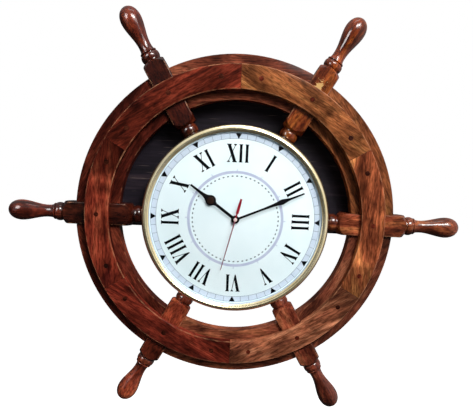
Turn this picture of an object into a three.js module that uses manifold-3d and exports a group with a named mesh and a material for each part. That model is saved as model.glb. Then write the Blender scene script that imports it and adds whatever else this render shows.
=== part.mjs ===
// Ship's wheel wall clock: a wooden wheel with six turned spokes, a round clock let into its hub
// and a battery movement behind the dial.
// Each piece is drawn as it is seen from the front: X to the right, Y up and Z towards the viewer.
// At the end the whole is stood up, so that Z is up and the dial faces -Y.
// Sizes are in millimetres, and angles in degrees unless a name ends in Radians.
// Depths along Z are measured from the plane that holds the axes of the spokes.
import * as THREE from "three";
import { mergeVertices } from "three/addons/utils/BufferGeometryUtils.js";
import Module from "manifold-3d";

// Fits and facets
const FIT_GAP = 0.3;
const RIM_FACETS = 48;
const CLOCK_FACETS = 32;
const SPOKE_FACETS = 12;
const BEZEL_STEPS = 3;
const BEAD_STEPS = 2;
const POMMEL_STEPS = 3;
const HANDLE_STEPS = 3;
const SMALL_ROUND_FACETS = 16;
const COIL_FACETS = 12;
const SCREW_FACETS = 8;
const ARBOR_FACETS = 6;
const CUT_MARGIN = 1;

// Wheel
const SPOKE_COUNT = 6;
const TIP_RADIUS = 304.8;
const WINDOW_DEPTH = 32.5;
const CORE_WIDTH = 57;
const CORE_THICKNESS = 19;
const RING_STEP = 13.5;
const RING_WIDTH = 31.5;
const RING_THICKNESS = 11;
const EDGE_BEVEL = 1.2;
const BACK_RING_SEGMENTS = 3;

// Spokes, from the hub outwards
const TENON_RADIUS = 5;
const TENON_LENGTH = 24;
const COLLAR_RADIUS = 9.5;
const COLLAR_LENGTH = 2.7;
const INNER_BEAD_RADIUS = 12.4;
const INNER_BEAD_LENGTH = 10;
const INNER_GROOVE_LENGTH = 1.5;
const GROOVE_RADIUS = 10.6;
const OUTER_GROOVE_LENGTH = 1;
const BLOCK_WIDTH = 29;
const BLOCK_BEVEL = 2;
const BLOCK_OVERHANG = 18;
const BLOCK_TURNED_RADIUS = 21.5;
const POMMEL_START_RADIUS = 11.6;
const POMMEL_LENGTH = 12;
const POMMEL_LEAN_RADIUS = 17.6;
const POMMEL_LEAN_LENGTH = 3.4;
const OUTER_BEAD_RADIUS = 12.4;
const OUTER_BEAD_LENGTH = 9;
const FLANGE_RADIUS = 10.8;
const FLANGE_LENGTH = 3.2;
const NECK_RADIUS = 8.2;
const NECK_DISTANCE = 10.5;
const SWELL_RADIUS = 13.6;
const SWELL_TO_TIP = 18;
const TIP_SHOULDER_LENGTH = 9.9;
const TIP_FLAT_RADIUS = 8.4;

// Plug holes of the front ring, at the bottom of which its screws sit
const PLUG_SPREAD = 22;
const PLUGS_PER_SEGMENT = 3;
const PLUG_HOLE_RADIUS = 3.2;
const PLUG_HOLE_DEPTH = 3.6;

// Hub
const HUB_BORE_RADIUS = 45;
const HUB_FRONT_DEPTH = 13;
const RECESS_DEPTH = 5;
const HUB_SCREW_COUNT = 3;
const HUB_SCREW_CIRCLE = 78;
const HUB_SCREW_RADIUS = 2.2;
const HUB_SCREW_HEAD_RADIUS = 4.2;
const HUB_SCREW_HEAD = 2.6;
const HUB_SCREW_LENGTH = 25;

// Half panel behind the upper windows
const PANEL_THICKNESS = 4;
const PANEL_DROP = 2;
const PANEL_HOLE_RADIUS = 1.8;
const PANEL_CURVE_STEPS = 14;

// Clock case, bezel, glass and dial
const CASE_WALL = 1;
const CASE_FLANGE_WIDTH = 4.4;
const CASE_FLANGE_THICKNESS = 0.8;
const CASE_HOLE_COUNT = 4;
const CASE_HOLE_RADIUS = 1.3;
const CASE_HOLE_START = 45;
const SCREW_HEAD_ROOM = 1.6;
const BEZEL_SKIRT_WALL = 1.9;
const BEZEL_OVERHANG = 1.3;
const BEZEL_OPENING_RADIUS = 114.6;
const BEZEL_OVERLAP = 1.8;
const BEZEL_SKIRT_HEIGHT = 2.5;
const BEZEL_CREST_WIDTH = 4.6;
const BEZEL_CREST_HEIGHT = 3.8;
const BEZEL_LIP = 1;
const GLASS_THICKNESS = 2;
const GLASS_HEIGHT = 7.2;
const SPACER_WALL = 1.3;
const DIAL_THICKNESS = 0.8;

// Hands, with their places in the photograph, clockwise from twelve
const HAND_THICKNESS = 0.6;
const SECOND_HAND_THICKNESS = 0.3;
const HOUR_HUB_RADIUS = 5.4;
const HOUR_HAND_LENGTH = 75;
const HOUR_BULB_PLACE = 41.5;
const HOUR_BULB_RADIUS = 7.2;
const HOUR_BULB_BELLY = 10.1;
const HOUR_BULB_SHOULDER = 10.8;
const BULB_STEPS = 6;
const HOUR_SHAFT_WIDTH = 3;
const HOUR_HAND_ANGLE = 305.9;
const MINUTE_HUB_RADIUS = 4.1;
const MINUTE_HAND_LENGTH = 98;
const MINUTE_BULGE_PLACE = 66;
const MINUTE_BULGE_WIDTH = 6.6;
const MINUTE_BULGE_REACH = 9.9;
const MINUTE_SHAFT_WIDTH = 2.4;
const MINUTE_NECK_WIDTH = 1.9;
const MINUTE_HAND_ANGLE = 66.8;
const SECOND_HAND_LENGTH = 71;
const SECOND_TAIL_LENGTH = 28.8;
const SECOND_TAIL_START = 8;
const SECOND_TAIL_WIDTH = 2.4;
const SECOND_NEEDLE_WIDTH = 1;
const SECOND_TIP_WIDTH = 0.4;
const SECOND_CAP_RADIUS = 2.6;
const SECOND_CAP_HEIGHT = 0.7;
const SECOND_HAND_ANGLE = 194;
const HAND_SPACING = 0.7;

// Nut and washer on the movement's bush
const BUSH_RADIUS = 3.9;
const WASHER_RADIUS = 5.4;
const WASHER_THICKNESS = 0.4;
const NUT_RADIUS = 5.4;
const NUT_THICKNESS = 1.6;
const NUT_SIDES = 6;
const BUSH_PROUD = 0.4;

// Movement
const MOVEMENT_WIDTH = 56;
const MOVEMENT_CORNER = 4;
const MOVEMENT_CORNER_STEPS = 3;
const MOVEMENT_DEPTH = 14.8;
const MOVEMENT_WALL = 1.2;
const COVER_THICKNESS = 1.2;
const BATTERY_RADIUS = 7.1;
const BATTERY_BODY_LENGTH = 49.1;
const BATTERY_NUB_RADIUS = 2.75;
const BATTERY_NUB_LENGTH = 1.1;
const CONTACT_THICKNESS = 0.4;
const CONTACT_WIDTH = 9;
const CONTACT_HEIGHT = 9;
const BRIDGE_THICKNESS = 0.6;
const BRIDGE_DEPTH = 5.5;
const BRIDGE_TOP = 16.5;
const POST_RADIUS = 2;
const SMALL_POST_RADIUS = 1.2;

// Wheel train: tooth counts, tooth sizes and the direction of each arbor from its neighbour
const ADDENDUM = 1;
const DEDENDUM = 1.15;
const ROOT_HALF_SHARE = 0.4;
const WHEEL_THICKNESS = 0.9;
const PINION_THICKNESS = 1.5;
const WHEEL_SPACING = 1;
const PINION_SPACING = 0.6;
const MAGNET_SPACING = 0.5;
const ARBOR_RADIUS = 0.6;
const PIVOT_RADIUS = 0.5;
const PIVOT_LENGTH = 0.7;
const PIVOT_HOLE_DEPTH = 0.9;
const CANNON_WALL = 0.7;
const HOUR_TUBE_WALL = 0.6;
const CENTRE_WHEEL_TEETH = 45;
const THIRD_PINION_TEETH = 6;
const THIRD_WHEEL_TEETH = 48;
const SECOND_PINION_TEETH = 6;
const SECOND_WHEEL_TEETH = 30;
const INTERMEDIATE_PINION_TEETH = 6;
const INTERMEDIATE_WHEEL_TEETH = 36;
const ROTOR_PINION_TEETH = 6;
const CANNON_PINION_TEETH = 10;
const MINUTE_WHEEL_TEETH = 30;
const MINUTE_PINION_TEETH = 8;
const HOUR_WHEEL_TEETH = 32;
const SETTING_PINION_TEETH = 10;
const CENTRE_MODULE = 0.46;
const INTERMEDIATE_MODULE = 0.55;
const ROTOR_MODULE = 0.4;
const MOTION_MODULE = 0.45;
const THIRD_DIRECTION = 150;
const INTERMEDIATE_DIRECTION = 60;
const ROTOR_DIRECTION = 20;
const MINUTE_WHEEL_DIRECTION = -10;
const SETTING_DIRECTION = -35;
const ROTOR_MAGNET_RADIUS = 2.8;
const ROTOR_MAGNET_HEIGHT = 2.6;
const KNOB_RADIUS = 5;
const KNOB_HEIGHT = 4;
const KNOB_RIBS = 12;
const KNOB_RIB_DEPTH = 0.5;
const SETTING_SHAFT_RADIUS = 1.2;

// Motor and board
const STATOR_THICKNESS = 0.8;
const STATOR_MARGIN = 1.4;
const STATOR_ARM_WIDTH = 2.8;
const STATOR_ROTOR_GAP = 0.7;
const COIL_WINDING_RADIUS = 2.9;
const COIL_FLANGE_RADIUS = 3.5;
const COIL_FLANGE_THICKNESS = 0.8;
const COIL_LENGTH = 17;
const COIL_HEIGHT = 21.5;
const CORE_BAR_THICKNESS = 1.2;
const CORE_BAR_WIDTH = 2.4;
const BOARD_LENGTH = 22;
const BOARD_WIDTH = 8;
const BOARD_THICKNESS = 1;
const BOARD_LEVEL = -4.6;
const CHIP_RADIUS = 2.4;
const CHIP_HEIGHT = 1.1;
const CHIP_SHIFT = -3.7;
const CRYSTAL_RADIUS = 1.1;
const CRYSTAL_LENGTH = 6;
const CRYSTAL_SHIFT = 4.4;

// Keyhole hanger
const HANGER_WIDTH = 46;
const HANGER_HEIGHT = 16;
const HANGER_THICKNESS = 1.5;
const HANGER_SLOT_WIDTH = 4.2;
const HANGER_SLOT_RISE = 4.5;
const HANGER_EYE_RADIUS = 4.2;
const HANGER_POCKET_DEPTH = 7;
const HANGER_SCREW_SPACING = 34;
const HANGER_SCREW_RADIUS = 1.5;
const HANGER_SCREW_HEAD_RADIUS = 3;
const HANGER_SCREW_LENGTH = 10;
const HANGER_CURVE_STEPS = 3;

// Finishes seen in the photograph
const FINISHES = {
  mahogany: { color: 0x6a2f1d, roughness: 0.35, metalness: 0 },
  redBrown: { color: 0x5a2a1c, roughness: 0.4, metalness: 0 },
  goldenBrown: { color: 0x9a6a3c, roughness: 0.4, metalness: 0 },
  darkWood: { color: 0x452a22, roughness: 0.45, metalness: 0 },
  charcoalStain: { color: 0x3a3538, roughness: 0.7, metalness: 0 },
  champagneBrass: { color: 0xd8c08a, roughness: 0.3, metalness: 1 },
  caseBrass: { color: 0xb59a5c, roughness: 0.4, metalness: 1 },
  steel: { color: 0x9fa2a4, roughness: 0.35, metalness: 1 },
  glass: { color: 0xf2f6f6, roughness: 0.05, metalness: 0 },
  dialWhite: { color: 0xf4f4f6, roughness: 0.5, metalness: 0 },
  handBlack: { color: 0x17161a, roughness: 0.4, metalness: 0 },
  handRed: { color: 0xc9272b, roughness: 0.4, metalness: 0 },
  blackPlastic: { color: 0x1c1c1e, roughness: 0.6, metalness: 0 },
  whitePlastic: { color: 0xe8e8e4, roughness: 0.5, metalness: 0 },
  copper: { color: 0xb5622f, roughness: 0.4, metalness: 1 },
  boardGreen: { color: 0x2e5b3a, roughness: 0.6, metalness: 0 },
  magnetGrey: { color: 0x4b4d50, roughness: 0.4, metalness: 1 },
  batteryJacket: { color: 0x8a8d90, roughness: 0.35, metalness: 0 },
};

// Places worked out from the sizes above
const SECTOR = 360 / SPOKE_COUNT;
const HALF_SECTOR = SECTOR / 2;
const BACK_SECTOR = 360 / BACK_RING_SEGMENTS;
const CORE_FRONT = CORE_THICKNESS / 2;
const CORE_BACK = -CORE_FRONT;
const RING_FRONT = CORE_FRONT + RING_THICKNESS;
const RIM_BACK = -RING_FRONT;
const BLOCK_HALF = BLOCK_WIDTH / 2;
const HANGER_SEAT = RIM_BACK + HANGER_THICKNESS;
const PANEL_FRONT = -BLOCK_HALF - FIT_GAP;
const PANEL_BACK = PANEL_FRONT - PANEL_THICKNESS;
const PANEL_BOTTOM = -BLOCK_HALF - PANEL_DROP;
const DIAL_RADIUS = BEZEL_OPENING_RADIUS + BEZEL_OVERLAP;
const CASE_INSIDE_RADIUS = DIAL_RADIUS + FIT_GAP;
const CASE_RADIUS = CASE_INSIDE_RADIUS + CASE_WALL;
const RECESS_RADIUS = CASE_RADIUS + FIT_GAP;
const CASE_FLANGE_RADIUS = CASE_RADIUS + CASE_FLANGE_WIDTH;
const BEZEL_RADIUS = CASE_FLANGE_RADIUS + FIT_GAP + BEZEL_SKIRT_WALL;
const HUB_RADIUS = BEZEL_RADIUS - BEZEL_OVERHANG;
const CORE_INNER_RADIUS = HUB_RADIUS + WINDOW_DEPTH;
const CORE_OUTER_RADIUS = CORE_INNER_RADIUS + CORE_WIDTH;
const RING_OUTER_RADIUS = CORE_OUTER_RADIUS - RING_STEP;
const RING_INNER_RADIUS = RING_OUTER_RADIUS - RING_WIDTH;
const RING_MIDDLE_RADIUS = (RING_INNER_RADIUS + RING_OUTER_RADIUS) / 2;
const COLLAR_START = HUB_RADIUS + FIT_GAP;
const INNER_BEAD_START = COLLAR_START + COLLAR_LENGTH;
const BLOCK_INNER = INNER_BEAD_START + INNER_BEAD_LENGTH + INNER_GROOVE_LENGTH;
const BLOCK_OUTER = CORE_OUTER_RADIUS + BLOCK_OVERHANG;
const RECESS_FLOOR = HUB_FRONT_DEPTH - RECESS_DEPTH;
const CASE_FLANGE_TOP = HUB_FRONT_DEPTH + CASE_FLANGE_THICKNESS;
const DIAL_BACK = RECESS_FLOOR + CASE_WALL;
const DIAL_FACE = DIAL_BACK + DIAL_THICKNESS;
const GLASS_BACK = DIAL_FACE + GLASS_HEIGHT;
const GLASS_FRONT = GLASS_BACK + GLASS_THICKNESS;
const MOVEMENT_FRONT = RECESS_FLOOR;
const MOVEMENT_BACK = MOVEMENT_FRONT - MOVEMENT_DEPTH;
const MOVEMENT_HALF = MOVEMENT_WIDTH / 2;
const TRAIN_FRONT = MOVEMENT_FRONT - MOVEMENT_WALL;
const BATTERY_BAY_HALF = BATTERY_RADIUS + FIT_GAP;
const BATTERY_Y = MOVEMENT_WALL - MOVEMENT_HALF + BATTERY_BAY_HALF;
const TRAIN_BOTTOM = BATTERY_Y + BATTERY_BAY_HALF + MOVEMENT_WALL;
const TRAIN_SIDE = MOVEMENT_HALF - MOVEMENT_WALL;
const TRAIN_HEIGHT = TRAIN_SIDE - TRAIN_BOTTOM;
const TRAIN_Y = TRAIN_BOTTOM + TRAIN_HEIGHT / 2;
const BATTERY_LEVEL = TRAIN_FRONT - FIT_GAP - BATTERY_RADIUS;
const BATTERY_LENGTH = BATTERY_BODY_LENGTH + BATTERY_NUB_LENGTH;
const BAY_LENGTH = BATTERY_LENGTH + 2 * (CONTACT_THICKNESS + 2 * FIT_GAP);
const BUSH_TOP = DIAL_FACE + WASHER_THICKNESS + NUT_THICKNESS + BUSH_PROUD;
const HOUR_HAND_LEVEL = BUSH_TOP + HAND_SPACING;
const MINUTE_HAND_LEVEL = HOUR_HAND_LEVEL + HAND_THICKNESS + HAND_SPACING;
const SECOND_HAND_LEVEL = MINUTE_HAND_LEVEL + HAND_THICKNESS + HAND_SPACING;

// Radii of the nested arbors, each with the gap that lets it turn
const CANNON_BORE = ARBOR_RADIUS + FIT_GAP;
const CANNON_RADIUS = CANNON_BORE + CANNON_WALL;
const HOUR_BORE = CANNON_RADIUS + FIT_GAP;
const HOUR_TUBE_RADIUS = HOUR_BORE + HOUR_TUBE_WALL;
const BUSH_BORE = HOUR_TUBE_RADIUS + FIT_GAP;

// Levels of the train, from the front plate to the back cover
const PIVOT_FRONT = TRAIN_FRONT + PIVOT_LENGTH;
const PIVOT_BACK = MOVEMENT_BACK - PIVOT_LENGTH;
const SHOULDER_FRONT = TRAIN_FRONT - FIT_GAP;
const SHOULDER_BACK = MOVEMENT_BACK + FIT_GAP;
const HOUR_WHEEL_FRONT = TRAIN_FRONT - FIT_GAP;
const HOUR_WHEEL_BACK = HOUR_WHEEL_FRONT - WHEEL_THICKNESS;
const MINUTE_WHEEL_FRONT = HOUR_WHEEL_BACK - WHEEL_SPACING;
const MINUTE_WHEEL_BACK = MINUTE_WHEEL_FRONT - WHEEL_THICKNESS;
const BRIDGE_FRONT = TRAIN_FRONT - BRIDGE_DEPTH;
const BRIDGE_BACK = BRIDGE_FRONT - BRIDGE_THICKNESS;
const CENTRE_WHEEL_BACK = BRIDGE_FRONT + FIT_GAP;
const CENTRE_WHEEL_FRONT = CENTRE_WHEEL_BACK + WHEEL_THICKNESS;
const SECOND_PINION_FRONT = BRIDGE_BACK - FIT_GAP;
const SECOND_PINION_BACK = SECOND_PINION_FRONT - PINION_THICKNESS;
const THIRD_WHEEL_FRONT = SECOND_PINION_FRONT - (PINION_THICKNESS - WHEEL_THICKNESS) / 2;
const SECOND_WHEEL_FRONT = SECOND_PINION_BACK - PINION_SPACING;
const SECOND_WHEEL_BACK = SECOND_WHEEL_FRONT - WHEEL_THICKNESS;
const INTERMEDIATE_WHEEL_FRONT = SECOND_WHEEL_BACK - WHEEL_SPACING;
const INTERMEDIATE_WHEEL_BACK = INTERMEDIATE_WHEEL_FRONT - WHEEL_THICKNESS;
const ROTOR_PINION_BACK = INTERMEDIATE_WHEEL_BACK - (PINION_THICKNESS - WHEEL_THICKNESS) / 2;
const MAGNET_FRONT = BRIDGE_BACK - MAGNET_SPACING;
const MAGNET_BACK = MAGNET_FRONT - ROTOR_MAGNET_HEIGHT;
const STATOR_FRONT = (MAGNET_FRONT + MAGNET_BACK + STATOR_THICKNESS) / 2;
const STATOR_BACK = STATOR_FRONT - STATOR_THICKNESS;

const wasm = await Module();
wasm.setup();

const { degToRad } = THREE.MathUtils;

// The point at a distance and an angle, counterclockwise from X.
function polar(radius, angle) {
  const turn = degToRad(angle);
  return new THREE.Vector2(radius * Math.cos(turn), radius * Math.sin(turn));
}

// How far the flats of a faceted round are from its axis
function flatRadius(radius, facets) {
  return radius * Math.cos(Math.PI / facets);
}

// The solid that a closed geometry bounds, with the points that triangles share merged.
function solidOf(geometry) {
  const bare = geometry.index ? geometry.toNonIndexed() : geometry.clone();
  bare.deleteAttribute("normal");
  bare.deleteAttribute("uv");
  const merged = mergeVertices(bare, 1e-4);
  const corners = merged.index.array;
  const kept = [];
  for (let i = 0; i < corners.length; i += 3) {
    const [a, b, c] = corners.slice(i, i + 3);
    if (a !== b && b !== c && c !== a) kept.push(a, b, c);
  }
  const vertProperties = merged.attributes.position.array;
  return new wasm.Manifold(new wasm.Mesh({ numProp: 3, vertProperties, triVerts: new Uint32Array(kept) }));
}

function geometryOf(solid) {
  const { vertProperties, triVerts } = solid.getMesh();
  const geometry = new THREE.BufferGeometry();
  geometry.setAttribute("position", new THREE.BufferAttribute(new Float32Array(vertProperties), 3));
  geometry.setIndex(new THREE.BufferAttribute(new Uint32Array(triVerts), 1));
  return geometry;
}

function join(first, ...others) {
  return geometryOf(others.reduce((solid, other) => solid.add(solidOf(other)), solidOf(first)));
}

function cut(body, ...tools) {
  return geometryOf(tools.reduce((solid, tool) => solid.subtract(solidOf(tool)), solidOf(body)));
}

function common(first, second) {
  return geometryOf(solidOf(first).intersect(solidOf(second)));
}

// A flat outline made solid between two depths.
function plate(shape, back, front, curveSegments = 8) {
  const settings = { depth: front - back, bevelEnabled: false, curveSegments };
  return new THREE.ExtrudeGeometry(shape, settings).translate(0, 0, back);
}

// A closed section of [radius, depth] pairs turned once round the Z axis. A section with a side on the axis
// is opened at that side, and gives a solid without a bore.
function turned(pairs, facets) {
  const points = pairs.map(([radius, depth]) => new THREE.Vector2(radius, depth));
  const section = THREE.ShapeUtils.isClockWise(points) ? points.reverse() : points;
  const first = section.findIndex((point, i) => point.x === 0 && section.at(i - 1).x === 0);
  const closed = [...section, section[0]];
  const opened = [...section.slice(first), ...section.slice(0, first)];
  const profile = first < 0 ? closed : opened;
  return new THREE.LatheGeometry(profile, facets).rotateX(Math.PI / 2);
}

function disc(radius, back, front, facets) {
  return turned([[0, back], [radius, back], [radius, front], [0, front]], facets);
}

function tube(inner, outer, back, front, facets) {
  return turned([[inner, back], [outer, back], [outer, front], [inner, front]], facets);
}

function box(width, height, back, front, x = 0, y = 0) {
  const depth = front - back;
  return new THREE.BoxGeometry(width, height, depth).translate(x, y, back + depth / 2);
}

function outline(points) {
  return new THREE.Shape(points.map(([x, y]) => new THREE.Vector2(x, y)));
}

// Copies of a piece spread evenly round the axis, the first at the start angle.
function spread(geometry, count, start = 0) {
  return Array.from({ length: count }, (_, i) =>
    geometry.clone().rotateZ(degToRad(start + (i * 360) / count)),
  );
}

// The wedge between two radial faces, each drawn in by half the fitting gap.
function wedge(middle, width) {
  const apex = polar(FIT_GAP / 2 / Math.sin(degToRad(width / 2)), middle);
  const reach = 2 * TIP_RADIUS;
  const corners = [-width / 2, width / 2].map((side) => polar(reach, middle + side).add(apex));
  return plate(new THREE.Shape([apex, ...corners]), -TIP_RADIUS, TIP_RADIUS);
}

// Turned spoke with a square block where the rim crosses it. The rounded shoulders between the square and
// the turned lengths come from cutting one turned blank with a square bar.
function spokeProfile() {
  const outerBeadStart = BLOCK_OUTER + OUTER_GROOVE_LENGTH;
  const flangeStart = outerBeadStart + OUTER_BEAD_LENGTH;
  const flangeEnd = flangeStart + FLANGE_LENGTH;
  const neck = flangeEnd + NECK_DISTANCE;
  const swell = TIP_RADIUS - SWELL_TO_TIP;
  const middle = (neck + swell) / 2;
  const start = new THREE.Vector2(0, COLLAR_START - TENON_LENGTH);
  const profile = [
    [TENON_RADIUS, COLLAR_START - TENON_LENGTH],
    [TENON_RADIUS, COLLAR_START],
    [COLLAR_RADIUS, COLLAR_START],
    [COLLAR_RADIUS, INNER_BEAD_START],
    ...bead(COLLAR_RADIUS, GROOVE_RADIUS, INNER_BEAD_START, INNER_BEAD_RADIUS, INNER_BEAD_LENGTH),
    [POMMEL_START_RADIUS, BLOCK_INNER],
    ...curve(POMMEL_STEPS, [
      [POMMEL_START_RADIUS, BLOCK_INNER],
      [POMMEL_LEAN_RADIUS, BLOCK_INNER + POMMEL_LEAN_LENGTH],
      [BLOCK_TURNED_RADIUS, BLOCK_INNER + POMMEL_LENGTH],
    ]),
    [BLOCK_TURNED_RADIUS, BLOCK_OUTER - POMMEL_LENGTH],
    ...curve(POMMEL_STEPS, [
      [BLOCK_TURNED_RADIUS, BLOCK_OUTER - POMMEL_LENGTH],
      [POMMEL_LEAN_RADIUS, BLOCK_OUTER - POMMEL_LEAN_LENGTH],
      [POMMEL_START_RADIUS, BLOCK_OUTER],
    ]),
    [GROOVE_RADIUS, outerBeadStart],
    ...bead(GROOVE_RADIUS, GROOVE_RADIUS, outerBeadStart, OUTER_BEAD_RADIUS, OUTER_BEAD_LENGTH),
    [FLANGE_RADIUS, flangeStart],
    [FLANGE_RADIUS, flangeEnd],
    ...curve(BEAD_STEPS, [
      [FLANGE_RADIUS, flangeEnd],
      [NECK_RADIUS, flangeEnd],
      [NECK_RADIUS, neck],
    ]),
    ...curve(HANDLE_STEPS, [
      [NECK_RADIUS, neck],
      [NECK_RADIUS, middle],
      [SWELL_RADIUS, middle],
      [SWELL_RADIUS, swell],
    ]),
    ...curve(HANDLE_STEPS, [
      [SWELL_RADIUS, swell],
      [SWELL_RADIUS, swell + TIP_SHOULDER_LENGTH],
      [TIP_FLAT_RADIUS, TIP_RADIUS],
      [0, TIP_RADIUS],
    ]),
  ];
  return [start, ...profile.map(([radius, along]) => new THREE.Vector2(radius, along))];
}

// Points along a quadratic or cubic curve after its first point.
function curve(steps, controls) {
  const ends = controls.map(([x, y]) => new THREE.Vector2(x, y));
  const Curve = ends.length === 3 ? THREE.QuadraticBezierCurve : THREE.CubicBezierCurve;
  const points = new Curve(...ends).getPoints(steps).slice(1);
  return points.map((point) => [point.x, point.y]);
}

// A half-round bead of a turned profile, from one radius beside it to the other.
function bead(radiusBefore, radiusAfter, start, crest, length) {
  const top = start + length / 2;
  const end = start + length;
  return [
    ...curve(BEAD_STEPS, [
      [radiusBefore, start],
      [crest, start],
      [crest, top],
    ]),
    ...curve(BEAD_STEPS, [
      [crest, top],
      [crest, end],
      [radiusAfter, end],
    ]),
  ];
}

function spokeGeometry() {
  const blank = new THREE.LatheGeometry(spokeProfile(), SPOKE_FACETS).rotateZ(-Math.PI / 2);
  const flat = BLOCK_HALF - BLOCK_BEVEL;
  const barSection = outline([
    [-flat, -BLOCK_HALF],
    [flat, -BLOCK_HALF],
    [BLOCK_HALF, -flat],
    [BLOCK_HALF, flat],
    [flat, BLOCK_HALF],
    [-flat, BLOCK_HALF],
    [-BLOCK_HALF, flat],
    [-BLOCK_HALF, -flat],
  ]);
  const bar = plate(barSection, 0, TIP_RADIUS + CUT_MARGIN).rotateY(Math.PI / 2);
  return common(blank, bar);
}

// The square socket that a spoke's block takes up in the rim.
function blockSocket() {
  const length = BLOCK_OUTER - BLOCK_INNER;
  const side = BLOCK_WIDTH + 2 * FIT_GAP;
  return box(length, side, -side / 2, side / 2, BLOCK_INNER + length / 2);
}

// Plug holes at every screw place of the front ring, the middle one of each segment over a spoke
function plugHoles() {
  const seat = RING_FRONT - PLUG_HOLE_DEPTH;
  const hole = disc(PLUG_HOLE_RADIUS, seat, RING_FRONT + CUT_MARGIN, SCREW_FACETS);
  hole.translate(RING_MIDDLE_RADIUS, 0, 0);
  const first = (-PLUG_SPREAD * (PLUGS_PER_SEGMENT - 1)) / 2;
  return Array.from({ length: PLUGS_PER_SEGMENT }, (_, i) =>
    spread(hole, SPOKE_COUNT, first + i * PLUG_SPREAD),
  ).flat();
}

// Rim: a wide core between the spokes and a narrow ring in front and behind, each in butted segments.
function coreRing() {
  const ring = turned(
    [
      [CORE_INNER_RADIUS, CORE_BACK],
      [CORE_OUTER_RADIUS, CORE_BACK],
      [CORE_OUTER_RADIUS, CORE_FRONT - EDGE_BEVEL],
      [CORE_OUTER_RADIUS - EDGE_BEVEL, CORE_FRONT],
      [CORE_INNER_RADIUS + EDGE_BEVEL, CORE_FRONT],
      [CORE_INNER_RADIUS, CORE_FRONT - EDGE_BEVEL],
    ],
    RIM_FACETS,
  );
  return cut(ring, ...spread(blockSocket(), SPOKE_COUNT));
}

// A ring plate whose outer face has bevelled edges. The inner face lies on the core.
function ringPlate(innerFace, outerFace) {
  const bevel = Math.sign(outerFace) * EDGE_BEVEL;
  return turned(
    [
      [RING_INNER_RADIUS, innerFace],
      [RING_OUTER_RADIUS, innerFace],
      [RING_OUTER_RADIUS, outerFace - bevel],
      [RING_OUTER_RADIUS - EDGE_BEVEL, outerFace],
      [RING_INNER_RADIUS + EDGE_BEVEL, outerFace],
      [RING_INNER_RADIUS, outerFace - bevel],
    ],
    RIM_FACETS,
  );
}

function frontRing() {
  const ring = ringPlate(CORE_FRONT, RING_FRONT);
  return cut(ring, ...spread(blockSocket(), SPOKE_COUNT), ...plugHoles());
}

function backRing() {
  const ring = ringPlate(CORE_BACK, RIM_BACK);
  return cut(ring, ...spread(blockSocket(), SPOKE_COUNT), ...hangerCuts());
}

// Keyhole hanger, let into the back of the rim at the top
function hangerShape(grow = 0) {
  const halfWidth = HANGER_WIDTH / 2 + grow;
  const end = HANGER_HEIGHT / 2 + grow;
  const straight = HANGER_WIDTH / 2 - HANGER_HEIGHT / 2;
  const shape = new THREE.Shape();
  shape.moveTo(-straight, -end);
  shape.lineTo(straight, -end);
  shape.absarc(straight, 0, halfWidth - straight, -Math.PI / 2, Math.PI / 2, false);
  shape.lineTo(-straight, end);
  shape.absarc(-straight, 0, halfWidth - straight, Math.PI / 2, Math.PI * 1.5, false);
  return shape;
}

function keyholeShape(grow = 0) {
  const slot = HANGER_SLOT_WIDTH / 2 + grow;
  const eye = HANGER_EYE_RADIUS + grow;
  const meet = Math.acos(slot / eye);
  const shape = new THREE.Shape();
  shape.moveTo(slot, HANGER_SLOT_RISE);
  shape.absarc(0, HANGER_SLOT_RISE, slot, 0, Math.PI, false);
  shape.absarc(0, -HANGER_EYE_RADIUS / 2, eye, Math.PI - meet, 2 * Math.PI + meet, false);
  return shape;
}

function atHangerScrews(geometry) {
  return [-1, 1].map((side) =>
    geometry.clone().translate((side * HANGER_SCREW_SPACING) / 2, RING_MIDDLE_RADIUS, 0),
  );
}

function hangerScrew(grow = 0) {
  return turned(
    [
      [0, RIM_BACK - grow],
      [HANGER_SCREW_HEAD_RADIUS + grow, RIM_BACK - grow],
      [HANGER_SCREW_RADIUS + grow, HANGER_SEAT - grow],
      [HANGER_SCREW_RADIUS + grow, RIM_BACK + HANGER_SCREW_LENGTH - HANGER_SCREW_RADIUS],
      [0, RIM_BACK + HANGER_SCREW_LENGTH + grow],
    ],
    SCREW_FACETS,
  );
}

function hangerCuts() {
  const wellFloor = RIM_BACK + HANGER_POCKET_DEPTH;
  const pocket = plate(hangerShape(FIT_GAP), RIM_BACK - CUT_MARGIN, HANGER_SEAT, HANGER_CURVE_STEPS);
  const well = plate(keyholeShape(FIT_GAP), HANGER_SEAT - CUT_MARGIN, wellFloor, HANGER_CURVE_STEPS);
  return [
    pocket.translate(0, RING_MIDDLE_RADIUS, 0),
    well.translate(0, RING_MIDDLE_RADIUS, 0),
    ...atHangerScrews(hangerScrew(FIT_GAP)),
  ];
}

function hangerGeometry() {
  const shape = hangerShape();
  shape.holes.push(keyholeShape());
  const body = plate(shape, RIM_BACK, HANGER_SEAT, HANGER_CURVE_STEPS).translate(0, RING_MIDDLE_RADIUS, 0);
  return cut(body, ...atHangerScrews(hangerScrew(FIT_GAP)));
}

// Hub: two thick discs that clamp the tenons of the spokes between them
function tenonSocket() {
  const length = TENON_LENGTH + CUT_MARGIN;
  const radius = TENON_RADIUS + FIT_GAP;
  const bore = new THREE.CylinderGeometry(radius, radius, length, SPOKE_FACETS);
  return bore.rotateZ(Math.PI / 2).translate(HUB_RADIUS - TENON_LENGTH + length / 2, 0, 0);
}

function hubScrew(grow = 0) {
  return turned(
    [
      [0, RIM_BACK - grow],
      [HUB_SCREW_HEAD_RADIUS + grow, RIM_BACK - grow],
      [HUB_SCREW_RADIUS + grow, RIM_BACK + HUB_SCREW_HEAD],
      [HUB_SCREW_RADIUS + grow, RIM_BACK + HUB_SCREW_LENGTH - HUB_SCREW_RADIUS],
      [0, RIM_BACK + HUB_SCREW_LENGTH + grow],
    ],
    SCREW_FACETS,
  ).translate(HUB_SCREW_CIRCLE, 0, 0);
}

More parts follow.
